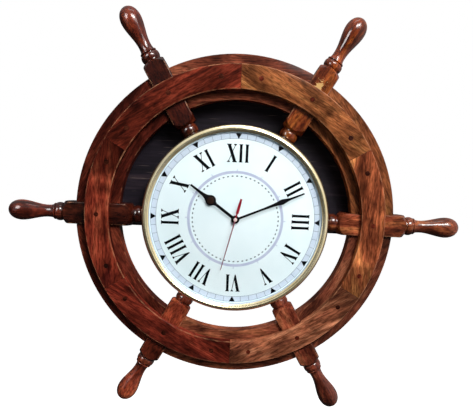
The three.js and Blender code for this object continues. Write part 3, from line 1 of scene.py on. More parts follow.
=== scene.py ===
# %% [markdown]
# # A ship's wheel wall clock
# The real object is a wooden wheel with six turned spokes. A round battery clock is let into its
# hub. The solid model is loaded first and stays as it is. It says where everything goes. The
# pieces that the eye meets are then made again with more detail, each in its own place.

# %% Load the solid model
import math

import bmesh
import bpy
from mathutils import Matrix, Vector


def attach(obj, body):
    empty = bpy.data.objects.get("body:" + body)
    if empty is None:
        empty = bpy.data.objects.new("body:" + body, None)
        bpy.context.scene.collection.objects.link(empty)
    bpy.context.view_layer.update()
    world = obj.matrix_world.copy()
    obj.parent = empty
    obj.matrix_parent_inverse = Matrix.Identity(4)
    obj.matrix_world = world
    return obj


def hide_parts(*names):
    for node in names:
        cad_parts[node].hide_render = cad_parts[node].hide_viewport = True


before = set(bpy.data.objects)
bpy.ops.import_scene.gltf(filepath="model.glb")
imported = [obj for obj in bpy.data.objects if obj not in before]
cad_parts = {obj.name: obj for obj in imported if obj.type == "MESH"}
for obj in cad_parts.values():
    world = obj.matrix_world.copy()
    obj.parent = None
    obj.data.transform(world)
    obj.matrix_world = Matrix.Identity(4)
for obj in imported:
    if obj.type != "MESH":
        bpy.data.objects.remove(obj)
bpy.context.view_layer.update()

MM = 0.001


def in_mm(*numbers):
    return [round(v / MM, 1) for v in numbers]


# %% [markdown]
# ## Directions
# The clock faces -Y and stands upright along Z. It is easier to think of it as seen from the
# front, so two small helpers turn front-view numbers into places in the scene. `seen` takes
# across, up and depth. `on_wheel` takes a radius and a depth, ready to be spun about the wheel's
# axis. Depth grows towards the viewer, and depth 0 is the plane that holds the spokes' axes.
# The spin operator turns a line clockwise as seen along its axis, so the wheel's axis points
# away from the viewer here, and angles then grow counterclockwise as seen from the front.

# %% Front-view places
AROUND_WHEEL = (0, 1, 0)
AROUND_SPOKE = (1, 0, 0)


def seen(across, up, depth):
    return Vector((across, -depth, up)) * MM


def on_wheel(radius, depth):
    return seen(radius, 0, depth)


def on_spoke(along, radius):
    return seen(along, radius, 0)


print("A point 100 mm up and 20 mm in front:", tuple(seen(0, 100, 20)))

# %% [markdown]
# ## Hand tools
# Everything below is drawn as a modeller draws it: a first point, then a line that is extruded
# from point to point, then a spin or an extrusion. An operator acts on all that is selected, so
# each tool starts by deselecting everything.

# %% Select and finish
WELD = 1e-6


def deselect_all():
    if bpy.context.mode != "OBJECT":
        bpy.ops.object.mode_set(mode="OBJECT")
    bpy.ops.object.select_all(action="DESELECT")


def activate(piece):
    deselect_all()
    piece.select_set(True)
    bpy.context.view_layer.objects.active = piece


def close_up():
    bpy.ops.mesh.select_all(action="SELECT")
    bpy.ops.mesh.remove_doubles(threshold=WELD)
    bpy.ops.mesh.normals_make_consistent(inside=False)
    bpy.ops.object.mode_set(mode="OBJECT")


def weld(piece):
    """Merges the doubled points that a cut or a bevel can leave where faces met in one plane."""
    activate(piece)
    bpy.ops.object.mode_set(mode="EDIT")
    close_up()
    return piece


def describe(piece):
    shape = bmesh.new()
    shape.from_mesh(piece.data)
    loose = sum(1 for edge in shape.edges if not edge.is_manifold)
    shape.free()
    faces = len(piece.data.polygons)
    print(f"{piece.name}: {in_mm(*piece.dimensions)} mm, {faces} faces, {loose} open edges")


# %% Draw a line of points
def start_line(name, point):
    deselect_all()
    bpy.ops.mesh.primitive_plane_add(size=MM, location=point)
    piece = bpy.context.object
    piece.name = piece.data.name = name
    bpy.ops.object.transform_apply(location=True, rotation=False, scale=False)
    bpy.ops.object.mode_set(mode="EDIT")
    bpy.ops.mesh.select_all(action="SELECT")
    bpy.ops.mesh.merge(type="CENTER")
    return piece


def draw_line(points):
    for start, end in zip(points, points[1:]):
        bpy.ops.mesh.extrude_region_move(TRANSFORM_OT_translate={"value": end - start})


def fill_outline(name, points):
    piece = start_line(name, points[0])
    draw_line([*points, points[0]])
    bpy.ops.mesh.select_all(action="SELECT")
    bpy.ops.mesh.remove_doubles(threshold=WELD)
    bpy.ops.mesh.edge_face_add()
    return piece


def plain_section(inner, outer, back, front):
    """The four corners of a section between two radii and two depths."""
    return [(inner, back), (outer, back), (outer, front), (inner, front)]


# %% Turn about an axis
def turn(name, points, axis, sides):
    """Spins a line of points all the way round an axis, as on a lathe."""
    piece = start_line(name, points[0])
    draw_line(points)
    bpy.ops.mesh.select_all(action="SELECT")
    bpy.ops.mesh.remove_doubles(threshold=WELD)
    bpy.ops.mesh.spin(steps=sides, angle=2 * math.pi, center=(0, 0, 0), axis=axis)
    close_up()
    return piece


def lathe(name, line, sides):
    """Turns a line of radius and depth about the wheel's axis."""
    return turn(name, [on_wheel(*p) for p in line], AROUND_WHEEL, sides)


def ring(name, section, sides):
    """Turns a closed section of radius and depth into a ring."""
    return lathe(name, [*section, section[0]], sides)


def turn_to(piece, angle):
    """Turns a piece about the wheel's axis, counterclockwise as seen from the front."""
    activate(piece)
    piece.rotation_euler = (0, -math.radians(angle), 0)
    bpy.ops.object.transform_apply(location=False, rotation=True, scale=False)
    return piece


# %% Sweep, cut out and box
def sweep(name, section, start, end, steps):
    """Spins a closed section of radius and depth from one angle to another."""
    piece = fill_outline(name, [on_wheel(radius, depth) for radius, depth in section])
    angle = math.radians(end - start)
    bpy.ops.mesh.spin(steps=steps, angle=angle, center=(0, 0, 0), axis=AROUND_WHEEL)
    close_up()
    return turn_to(piece, start)


def cut_out(name, outline, back, front):
    """Gives a flat outline, drawn from the front, the thickness between two depths."""
    piece = fill_outline(name, [seen(across, up, back) for across, up in outline])
    thickness = seen(0, 0, front - back)
    bpy.ops.mesh.extrude_region_move(TRANSFORM_OT_translate={"value": thickness})
    close_up()
    return piece


def box(name, middle, size):
    """A block about its middle, with its sizes across, deep and up in mm."""
    deselect_all()
    bpy.ops.mesh.primitive_cube_add(size=1, location=middle)
    piece = bpy.context.object
    piece.name = piece.data.name = name
    piece.scale = Vector(size) * MM
    bpy.ops.object.transform_apply(location=True, rotation=True, scale=True)
    return piece


# %% Move, copy and join
def shift(piece, offset):
    activate(piece)
    piece.location = offset
    bpy.ops.object.transform_apply(location=True, rotation=False, scale=False)
    return piece


def copy_turned(piece, name, angle=0):
    activate(piece)
    bpy.ops.object.duplicate(linked=False)
    copy = bpy.context.object
    copy.name = copy.data.name = name
    return turn_to(copy, angle)


def join(name, pieces):
    activate(pieces[0])
    for piece in pieces:
        piece.select_set(True)
    bpy.ops.object.join()
    whole = bpy.context.object
    whole.name = whole.data.name = name
    return whole


# %% Combine, cut and soften
def combine(piece, tool, operation="DIFFERENCE"):
    activate(piece)
    bpy.ops.object.modifier_add(type="BOOLEAN")
    modifier = piece.modifiers[-1]
    modifier.operation = operation
    modifier.solver = "EXACT"
    modifier.object = tool
    bpy.ops.object.modifier_apply(modifier=modifier.name)
    bpy.data.objects.remove(tool)
    return piece


def saw_off(piece, place, away):
    """Cuts off what lies beyond a plane and closes the cut."""
    activate(piece)
    bpy.ops.object.mode_set(mode="EDIT")
    bpy.ops.mesh.select_all(action="SELECT")
    bpy.ops.mesh.bisect(plane_co=place, plane_no=away, use_fill=True, clear_outer=True)
    close_up()
    return piece


def soft_edges(piece, width, angle=40, segments=2):
    activate(piece)
    bpy.ops.object.modifier_add(type="BEVEL")
    modifier = piece.modifiers[-1]
    modifier.width = width * MM
    modifier.segments = segments
    modifier.limit_method = "ANGLE"
    modifier.angle_limit = math.radians(angle)
    bpy.ops.object.modifier_apply(modifier=modifier.name)
    return piece


def shade(piece, angle=30):
    activate(piece)
    bpy.ops.object.shade_smooth_by_angle(angle=math.radians(angle))
    return piece


# %% Curves through points
def rounded(outline, radii, steps=3):
    """Rounds each corner of a closed outline by its own radius."""
    points = []
    for i, radius in enumerate(radii):
        corner = Vector(outline[i])
        before = Vector(outline[i - 1])
        after = Vector(outline[(i + 1) % len(outline)])
        if radius == 0:
            points.append(tuple(corner))
            continue
        start = corner + (before - corner).normalized() * radius
        end = corner + (after - corner).normalized() * radius
        for k in range(steps + 1):
            t = k / steps
            points.append(tuple((1 - t) ** 2 * start + 2 * t * (1 - t) * corner + t * t * end))
    return points


def smooth_line(points, steps=5):
    """A smooth line that passes through every given point."""
    ends = [Vector(p) for p in points]
    ends = [ends[0], *ends, ends[-1]]
    line = [tuple(ends[1])]
    for a, b, c, d in zip(ends, ends[1:], ends[2:], ends[3:]):
        for k in range(1, steps + 1):
            t = k / steps
            square, cube = 2 * a - 5 * b + 4 * c - d, 3 * b - a - 3 * c + d
            bend = 2 * b + (c - a) * t + square * t**2 + cube * t**3
            line.append(tuple(bend / 2))
    return line


print("A corner rounded in three steps:", rounded([(0, 0), (1, 0), (1, 1)], [0, 0.5, 0])[1:5])

# %% [markdown]
# ## Finishes
# Each finish is built from nodes and painted in the piece's own coordinates, so that it stays
# put when the piece moves. Colours are written as painters write them and turned into the
# linear values that the nodes use.


# %% Node helpers
def tone(colour):
    parts = [int(colour[i : i + 2], 16) / 255 for i in (1, 3, 5)]
    linear = [p / 12.92 if p <= 0.04045 else ((p + 0.055) / 1.055) ** 2.4 for p in parts]
    return (*linear, 1)


def new_finish(name):
    material = bpy.data.materials.new(name)
    material.use_nodes = True
    return material, material.node_tree, material.node_tree.nodes["Principled BSDF"]


def add_node(tree, kind, inputs, **settings):
    node = tree.nodes.new(kind)
    for key, value in settings.items():
        setattr(node, key, value)
    for key, value in inputs.items():
        if isinstance(value, bpy.types.NodeSocket):
            tree.links.new(value, node.inputs[key])
        else:
            node.inputs[key].default_value = value
    return node


def own_place(tree):
    return add_node(tree, "ShaderNodeTexCoord", {}).outputs["Object"]


def laid(tree, turn, size, centre=(0, 0, 0)):
    """The pattern's own space: turned with the piece, and stretched to a size in mm."""
    inputs = {
        "Vector": own_place(tree),
        "Location": [v * MM for v in centre],
        "Rotation": (0, -math.radians(turn), 0),
        "Scale": [v * MM for v in size],
    }
    return add_node(tree, "ShaderNodeMapping", inputs, vector_type="TEXTURE").outputs[0]


def noise(tree, vector, detail=3, roughness=0.55, distortion=0, scale=1):
    inputs = {
        "Vector": vector,
        "Scale": scale,
        "Detail": detail,
        "Roughness": roughness,
        "Distortion": distortion,
    }
    return add_node(tree, "ShaderNodeTexNoise", inputs).outputs[0]


# %% Ramps, blends and relief
def ramp(tree, factor, stops):
    node = add_node(tree, "ShaderNodeValToRGB", {"Fac": factor})
    marks = node.color_ramp.elements
    while len(marks) < len(stops):
        marks.new(0.5)
    for mark, (place, colour) in zip(marks, stops):
        mark.position = place
        mark.color = colour if isinstance(colour, tuple) else (colour, colour, colour, 1)
    return node.outputs["Color"]


def blend(tree, factor, first, second, way="MIX"):
    node = add_node(tree, "ShaderNodeMix", {0: factor}, data_type="RGBA", blend_type=way)
    for slot, value in ((6, first), (7, second)):
        if isinstance(value, bpy.types.NodeSocket):
            tree.links.new(value, node.inputs[slot])
        else:
            node.inputs[slot].default_value = value
    return node.outputs[2]


def multiply(tree, first, second, amount=1.0):
    return blend(tree, amount, first, second, "MULTIPLY")


def centred(tree, value, reach):
    """Lays a value between -reach and reach onto the 0 to 1 of a ramp."""
    limits = {"Value": value, "From Min": -reach, "From Max": reach}
    return add_node(tree, "ShaderNodeMapRange", limits).outputs[0]


def relief(tree, shader, height, depth, strength=1.0):
    inputs = {"Height": height, "Distance": depth * MM, "Strength": strength}
    bump = add_node(tree, "ShaderNodeBump", inputs)
    tree.links.new(bump.outputs[0], shader.inputs["Normal"])


def paint(tree, shader, **inputs):
    for key, value in inputs.items():
        socket = shader.inputs[key.replace("_", " ").title().replace("Ior", "IOR")]
        if isinstance(value, bpy.types.NodeSocket):
            tree.links.new(value, socket)
        else:
            socket.default_value = value


print("Mahogany brown in linear values:", [round(v, 3) for v in tone("#7c4029")])

# %% [markdown]
# ## Varnished wood
# Every segment was sawn from another plank, so each has its own three tones, from dark to light.
# The grain of a ring segment runs straight across it, as boards do, and the grain of a spoke
# runs along it. One stretched noise would look like paint, so five layers make the wood: broad
# streaks, blotches, wavy growth lines, short flecks and dark pores. A stain and shade ramp makes a
# piece darker or paler at given places along its grain: a stain at the ends of some front
# segments, and on the spokes partly their own tone and partly painted shade. On the edges a paler
# tone breaks through, partly where the finish is worn and partly as a painted highlight where
# they catch the light, and one spoke has a chip. All the gloss comes from the clear coat, because
# light on the wood under it would lay a grey haze on the dark tones.


# %% A chip in the finish
# The rubbed edge tone is partly real wear and partly a painted highlight on the edges.
BARE_WOOD, RUBBED_EDGE_AND_HIGHLIGHT = "#b8935c", "#b07a58"


def chipped(tree, turn, place):
    """A ragged spot about a place in mm, where the finish has come off."""
    ends = {0: laid(tree, turn, (1, 1, 1)), 1: place}
    away = add_node(tree, "ShaderNodeVectorMath", ends, operation="DISTANCE").outputs[1]
    flakes = noise(tree, laid(tree, turn, (3, 4, 4)), 3, 0.7)
    ragged = ramp(tree, flakes, [(0.38, 0.25), (0.62, 1.0)])
    spot = add_node(tree, "ShaderNodeMath", {0: away, 1: ragged}, operation="MULTIPLY").outputs[0]
    limits = {"Value": spot, "From Min": 2.3, "From Max": 2.9, "To Min": 0.9, "To Max": 0.0}
    return add_node(tree, "ShaderNodeMapRange", limits).outputs[0]


# %% Wood
REACH = 305


def wood(
    name,
    *colours,
    turn=0,
    seed=0,
    figure=0.18,
    fleck=(10, 1.5, 1.5),
    wear_and_highlight=0.0,
    coat=0.2,
    stain=(),
    chip=(),
):
    """Three tones of wood, with its grain turned to an angle and a pattern picked by the seed."""
    material, tree, shader = new_finish(name)
    centre = (37 * seed, 23 * seed, 51 * seed)

    def layer(size, *look):
        return noise(tree, laid(tree, turn, size, centre), *look)

    broad = layer((110, 20, 20), 5, 0.6, 1.1)
    stops = [(place, tone(colour)) for place, colour in zip((0.33, 0.5, 0.7), colours)]
    colour = ramp(tree, broad, stops)
    blotch = layer((42, 26, 26), 3, 0.5, 0.6)
    colour = multiply(tree, colour, ramp(tree, blotch, [(0.36, 0.42), (0.62, 1.3)]))
    rows = add_node(
        tree,
        "ShaderNodeTexWave",
        {
            "Vector": laid(tree, turn, (170, 22, 22), centre),
            "Scale": 1,
            "Distortion": 11,
            "Detail": 4,
            "Detail Scale": 1.6,
            "Detail Roughness": 0.65,
        },
        bands_direction="Z",
    ).outputs["Color"]
    colour = multiply(tree, colour, ramp(tree, rows, [(0.0, 1 - figure), (0.6, 1.0)]))
    flecks = layer(fleck, 4, 0.6, 0.3)
    colour = multiply(tree, colour, ramp(tree, flecks, [(0.36, 0.45), (0.6, 1.35)]))
    pits = ramp(tree, layer((5, 0.4, 0.4), 2, 0.5), [(0.3, 0.45), (0.4, 1.0)])
    colour = multiply(tree, colour, pits, 0.6)
    # Darker or paler along the grain: a real stain on the front ring, partly painted shade on the
    # spokes.
    if stain:
        own = laid(tree, turn, (1, 1, 1))
        along = centred(tree, add_node(tree, "ShaderNodeSeparateXYZ", {0: own}).outputs[0], REACH)
        stops = [(0.5 + place / (2 * REACH), shade) for place, shade in stain]
        colour = multiply(tree, colour, ramp(tree, along, stops))
    if chip:
        colour = blend(tree, chipped(tree, turn, chip), colour, tone(BARE_WOOD))
    # Pale patches on the edge faces: partly worn finish, partly a painted highlight on the edges.
    if wear_and_highlight:
        patches = layer((18, 6, 6), 4, 0.7)
        wear_and_highlight_mask = ramp(tree, patches, [(0.68 - 0.3 * wear_and_highlight, 0.0), (0.95 - 0.3 * wear_and_highlight, 0.6)])
        colour = blend(tree, wear_and_highlight_mask, colour, tone(RUBBED_EDGE_AND_HIGHLIGHT))
    polish = ramp(tree, blotch, [(0.3, 0.4), (0.7, 0.55)])
    paint(tree, shader, base_color=colour, roughness=polish, specular_ior_level=0.015)
    paint(tree, shader, coat_weight=coat, coat_roughness=0.13)
    relief(tree, shader, blend(tree, 0.5, flecks, pits), 0.12, 0.5)
    return material


def worn_and_highlit_pair(name, *colours, wear_and_highlight=0.6, **settings):
    """The same wood twice: for the faces, and for the edges, paler for wear and a painted
    highlight.
    """
    edge = wood(name + "_edge", *colours, wear_and_highlight=wear_and_highlight, **settings)
    return [wood(name, *colours, **settings), edge]


# %% [markdown]
# ## Metal, paint, plastic and glass
# A turned metal part shows faint rings from the lathe, so its pattern reads the distance from
# the wheel's axis. Paint and moulded plastic have a fine even texture. The glass is thin and
# clear: only its gloss shows, and more of it at a slant, which the Fresnel node gives.


# %% Turned metal
def turned_metal(name, dark, light, roughness, pitch=0.5):
    material, tree, shader = new_finish(name)
    parts = add_node(tree, "ShaderNodeSeparateXYZ", {0: own_place(tree)}).outputs
    flat = add_node(tree, "ShaderNodeCombineXYZ", {0: parts[0], 1: parts[2]}).outputs[0]
    radius = add_node(tree, "ShaderNodeVectorMath", {0: flat}, operation="LENGTH").outputs[1]
    ringed = add_node(tree, "ShaderNodeCombineXYZ", {0: radius, 1: parts[1]}).outputs[0]
    grooves = noise(tree, ringed, 3, 0.6, scale=1 / (pitch * MM))
    cloud = noise(tree, laid(tree, 0, (22, 22, 22)), 4, 0.6)
    colour = ramp(tree, cloud, [(0.3, tone(dark)), (0.7, tone(light))])
    gloss = ramp(tree, grooves, [(0.3, roughness * 0.8), (0.7, roughness * 1.25)])
    paint(tree, shader, base_color=colour, roughness=gloss, metallic=1.0)
    relief(tree, shader, grooves, 0.01, 0.6)
    return material


# %% Rolled metal and magnet
def plain_metal(name, dark, light, roughness, grain=(9, 0.5, 0.5)):
    material, tree, shader = new_finish(name)
    brushed = noise(tree, laid(tree, 0, grain), 4, 0.65)
    colour = ramp(tree, brushed, [(0.3, tone(dark)), (0.7, tone(light))])
    gloss = ramp(tree, brushed, [(0.3, roughness * 0.75), (0.7, roughness * 1.3)])
    paint(tree, shader, base_color=colour, roughness=gloss, metallic=1.0)
    relief(tree, shader, brushed, 0.02, 0.5)
    return material


# %% Paint and plastic
def coated(name, dark, light, roughness, grain=0.6, depth=0.02, spread=14, gloss=0.5):
    """Paint, ink or moulded plastic: an uneven tone and a fine grain."""
    material, tree, shader = new_finish(name)
    cloud = noise(tree, laid(tree, 0, (spread, spread, spread)), 4, 0.6)
    fine = noise(tree, laid(tree, 0, (grain, grain, grain)), 3, 0.6)
    colour = ramp(tree, cloud, [(0.32, tone(dark)), (0.68, tone(light))])
    rough = ramp(tree, fine, [(0.3, roughness * 0.85), (0.7, roughness * 1.15)])
    paint(tree, shader, base_color=colour, roughness=rough, specular_ior_level=gloss)
    relief(tree, shader, fine, depth, 0.5)
    return material


# %% Clear glass
def clear_glass(name):
    material, tree, shader = new_finish(name)
    slant = add_node(tree, "ShaderNodeFresnel", {"IOR": 1.5}).outputs[0]
    haze = noise(tree, laid(tree, 20, (60, 60, 60)), 3, 0.5)
    body = ramp(tree, slant, [(0.04, 0.03), (0.6, 0.5)])
    tint = ramp(tree, haze, [(0.3, tone("#20262a")), (0.7, tone("#2a3034"))])
    gloss = ramp(tree, haze, [(0.3, 0.02), (0.7, 0.05)])
    paint(tree, shader, base_color=tint, roughness=gloss, alpha=body, ior=1.5)
    return material


# %% [markdown]
# ## Fit a piece to the model
# A finished piece gets its materials, stands in for its solid, and rides on the body that
# carries it. A second material can go onto some of its faces. That is simpler than a mask in the
# material, because the faces of an edge, paler for wear and a painted highlight, or of one half
# of a hand are known when the piece is made.


# %% Fit
def fit(piece, finishes, body="wheel", stands_for=()):
    if not isinstance(finishes, list):
        finishes = [finishes]
    while len(piece.data.materials) < len(finishes):
        piece.data.materials.append(None)
    for i, finish in enumerate(finishes):
        piece.data.materials[i] = finish
    if stands_for:
        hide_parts(*stands_for)
    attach(piece, body)
    return piece


def mark_faces(piece, test):
    """Gives the faces that pass the test the second finish."""
    while len(piece.data.materials) < 2:
        piece.data.materials.append(None)
    marked = [face for face in piece.data.polygons if test(face)]
    for face in marked:
        face.material_index = 1
    return len(marked)


# %% [markdown]
# ## Spokes
# A spoke is one length of wood: a tenon in the hub, a bead, a square block in the rim, another
# bead and the handle. The wood turner starts from a square bar and turns all but the block. A
# lathe profile with the block added as a box would leave a seam. Here the blank is turned with
# a bulge where the block is, and the part it shares with a square bar is kept. That gives the
# round shoulders of the block for nothing, as on the real lathe.

# %% Beads and shoulders
BLOCK_START, BLOCK_END = 137.5, 230.5
BLOCK_HALF = 14.5
BULGE, SHOULDER_LENGTH, SHOULDER_FOOT = 21.5, 12, 11.6
LEAN_LENGTH, LEAN_RADIUS = 3.4, 17.6
TENON_TIP = 99.3


def half_round(start, end, foot, crest, steps=8):
    """A bead between two places along the spoke."""
    middle, half = (start + end) / 2, (end - start) / 2
    angles = [math.pi * k / steps for k in range(steps + 1)]
    return [(middle - half * math.cos(a), foot + (crest - foot) * math.sin(a)) for a in angles]


def shoulder(start, way, steps=9):
    """The round shoulder that leads from the groove up to the block."""
    points = []
    for t in (k / steps for k in range(steps + 1)):
        along = start + way * (2 * t * (1 - t) * LEAN_LENGTH + t * t * SHOULDER_LENGTH)
        radius = (1 - t) ** 2 * SHOULDER_FOOT + 2 * t * (1 - t) * LEAN_RADIUS + t * t * BULGE
        points.append((along, radius))
    return points


# %% The whole profile
handle = smooth_line(
    [
        (243.9, 9.3),
        (247.5, 8.4),
        (254, 8.2),
        (262, 9.2),
        (271, 11.2),
        (280, 13.1),
        (288, 13.7),
        (295, 12.4),
        (300.5, 9.2),
        (303.8, 4.6),
        (304.8, 0),
    ]
)
profile = [
    (TENON_TIP, 0),
    (TENON_TIP, 4.2),
    (100.1, 5),
    (123.3, 5),
    (123.3, 8.9),
    (123.9, 9.5),
    (126, 9.5),
    *half_round(126.1, 136, 10.6, 12.4),
    (136.4, 10.6),
    (137.2, 10.6),
    *shoulder(BLOCK_START, 1),
    *reversed(shoulder(BLOCK_END, -1)),
    (230.8, 10.6),
    (231.4, 10.6),
    *half_round(231.5, 240.4, 10.6, 12.4),
    (240.5, 9.4),
    (240.9, 9.4),
    *half_round(241, 243.7, 9.6, 11.0, 6),
    *handle,
]
print("Points in the spoke's profile:", len(profile))

# %% Turn the blank and keep what the square bar holds
SPOKE_SIDES = 64
BAR_LENGTH, BAR_EDGE = 210, 1.6
spoke = turn("spoke_blank", [on_spoke(*p) for p in profile], AROUND_SPOKE, SPOKE_SIDES)
bar_middle = seen(TENON_TIP - 1 + BAR_LENGTH / 2, 0, 0)
bar = box("square_bar", bar_middle, (BAR_LENGTH, 2 * BLOCK_HALF, 2 * BLOCK_HALF))
bpy.ops.object.mode_set(mode="EDIT")
bpy.ops.mesh.select_all(action="DESELECT")
bpy.ops.mesh.select_mode(type="EDGE")
long_edges = bmesh.from_edit_mesh(bar.data)
for edge in long_edges.edges:
    edge.select_set(abs(edge.verts[0].co.x - edge.verts[1].co.x) > 0.1)
bmesh.update_edit_mesh(bar.data)
bpy.ops.mesh.bevel(offset=BAR_EDGE * MM, segments=3)
bpy.ops.mesh.select_mode(type="VERT")
bpy.ops.object.mode_set(mode="OBJECT")
combine(spoke, bar, "INTERSECT")


def on_block_edge(face):
    """True on the narrow bevels along the four long edges of the block."""
    middle, slope = face.center / MM, face.normal
    slanted = abs(slope.y) > 0.2 and abs(slope.z) > 0.2 and abs(slope.x) < 0.1
    return slanted and BLOCK_START < middle.x < BLOCK_END and math.hypot(middle.y, middle.z) > 17


# The block's edge bevels get the paler edge finish: partly wear, partly a painted highlight.
print("Worn edge faces on the block:", mark_faces(spoke, on_block_edge))
shade(spoke)
describe(spoke)

# %% [markdown]
# The six spokes come from one, each copy with its own mesh and its own wood. The left one is much
# darker than the upper ones, partly in its own wood and partly as painted shade. The four shades of
# each spoke darken or lighten it at the inner bead, at the two ends of the block and on the handle:
# partly the wood's own tone, partly painted shade, as on the dark outer blocks. The finish of the
# upper right block is chipped where the rim ends.

# %% Place the six spokes
BEAD, BLOCK_IN, BLOCK_OUT, GRIP = 128, 160, 225, 250
CHIP_PLACE = (203.6, -BLOCK_HALF, 0.8)
# The four shades along each spoke and the dark left spoke are partly painted shade.
SPOKES = {
    "right": (0, ("#40180d", "#70341f", "#9d5f37"), (0.7, 1.4, 0.58, 1.0)),
    "top_right": (60, ("#401708", "#6e2e14", "#92501f"), (0.6, 0.76, 0.78, 1.1)),
    "top_left": (120, ("#30100a", "#571f13", "#7e3820"), (0.35, 0.48, 0.21, 0.95)),
    "left": (180, ("#2a0c07", "#4c1a0f", "#71321f"), (0.35, 0.31, 0.2, 1.5)),
    "bottom_left": (240, ("#441910", "#742f1d", "#a05434"), (0.8, 1.3, 0.6, 1.45)),
    "bottom_right": (300, ("#3f1911", "#6c3020", "#95583a"), (0.8, 1.3, 0.62, 1.1)),
}
for place, (angle, colours, shades) in SPOKES.items():
    piece = copy_turned(spoke, f"spoke_{place}_turned", angle)
    grain = {"turn": angle, "seed": angle / 60 + 1, "coat": 0.5, "fleck": (7, 2.4, 2.4)}
    stain = list(zip((BEAD, BLOCK_IN, BLOCK_OUT, GRIP), shades))
    if place == "top_right":
        grain["chip"] = CHIP_PLACE
    finishes = worn_and_highlit_pair(f"spoke_wood_{place}", *colours, wear_and_highlight=0.8, stain=stain, **grain)
    fit(piece, finishes, stands_for=[f"spoke_{place}"])
bpy.data.objects.remove(spoke)
print("Spokes placed:", len(SPOKES))

# %% [markdown]
# ## Rim
# The rim is three layers deep. The wide middle layer fills the space between the spokes' blocks.
# A narrower ring is screwed on in front and another behind. A full ring cut into six would also
# do, but one segment spun from its section and then copied keeps every joint where it is.

# %% Middle layer
CORE_INNER, CORE_OUTER, CORE_HALF = 155.5, 212.5, 9.5
core_section = plain_section(CORE_INNER, CORE_OUTER, -CORE_HALF, CORE_HALF)
core = sweep("rim_core", rounded(core_section, [0.9, 0.9, 0.9, 0.9]), 0, 60, 24)
CLEARANCE = 0.3
clear_of_spoke = BLOCK_HALF + CLEARANCE
saw_off(core, seen(0, clear_of_spoke, 0), (0, 0, -1))
side = Vector((-math.sin(math.radians(60)), 0, math.cos(math.radians(60))))
saw_off(core, -clear_of_spoke * MM * side, side)
describe(core)


# %% Worn and highlighted edges of a ring
def on_ring_edge(face):
    """True on the narrow rounded strips between a ring's face and its sides."""
    radial = math.hypot(face.normal.x, face.normal.z)
    return 0.15 < abs(face.normal.y) < 0.985 and radial > 0.15


# The ring's edge strips get the paler edge finish: partly wear, partly a painted highlight.
print("Worn edge faces on the middle layer:", mark_faces(core, on_ring_edge))
shade(core)

# %% Place the middle layer
CORE_WOOD = {
    "upper_right": (30, "#422112", "#6b3b22", "#905a33"),
    "top": (90, "#3e1a10", "#643122", "#864c35"),
    "upper_left": (150, "#240906", "#441810", "#632b1c"),
    "lower_left": (210, "#32120c", "#5a251a", "#853f29"),
    "bottom": (270, "#462118", "#7d422e", "#ad6744"),
    "lower_right": (330, "#361711", "#5d3021", "#804e37"),
}
for place, (angle, *colours) in CORE_WOOD.items():
    piece = copy_turned(core, f"rim_core_{place}_wood", angle - 30)
    grain = {"turn": angle + 90, "seed": angle / 60 + 7}
    finishes = worn_and_highlit_pair(f"core_wood_{place}", *colours, **grain)
    fit(piece, finishes, stands_for=[f"rim_core_{place}"])
bpy.data.objects.remove(core)
print("Middle segments placed:", len(CORE_WOOD))

# %% [markdown]
# ## Front ring
# Each segment sits over a spoke. It has a square socket behind for the spoke's block, and three
# holes in front that hide its screws under wooden plugs. The openings could be drawn into the
# section, but they don't run along it. So each is cut with a tool of its own shape, as a chisel
# and a drill would cut it. Some segments are darker at one end, where the plank was.

# %% One front segment
RING_INNER, RING_OUTER = 167.5, 199
RING_BACK, RING_FRONT = 9.5, 20.5
RING_MIDDLE = (RING_INNER + RING_OUTER) / 2
JOINT_GAP = 0.05
front_section = plain_section(RING_INNER, RING_OUTER, RING_BACK, RING_FRONT)
front_section = rounded(front_section, [0, 0, 1.3, 1.3])
front_ring = sweep("front_ring", front_section, -30 + JOINT_GAP, 30 - JOINT_GAP, 24)


def block_socket(name, angle, near, far):
    """A box that takes up the block of a spoke between two depths."""
    middle = seen(RING_MIDDLE, 0, (near + far) / 2)
    return turn_to(box(name, middle, (50, abs(far - near), 2 * clear_of_spoke)), angle)


def straight_hole(name, radius, back, front, place, angle, sides=32):
    """A round tool that stands on the wheel's face."""
    tool = lathe(name, plain_section(0, radius, back, front), sides)
    return turn_to(shift(tool, seen(place, 0, 0)), angle)


combine(front_ring, block_socket("socket", 0, RING_BACK - 1, clear_of_spoke))

# %% Plug holes
PLUG_ANGLES = (-22, 0, 22)
PLUG_RADIUS, PLUG_DEPTH = 3.2, 3.6
holes = [
    straight_hole("hole", PLUG_RADIUS, RING_FRONT - PLUG_DEPTH, RING_FRONT + 1, RING_MIDDLE, angle)
    for angle in PLUG_ANGLES
]
combine(front_ring, join("holes", holes))
# The ring's edge strips get the paler edge finish: partly wear, partly a painted highlight.
print("Worn edge faces on a front segment:", mark_faces(front_ring, on_ring_edge))
shade(front_ring)
describe(front_ring)

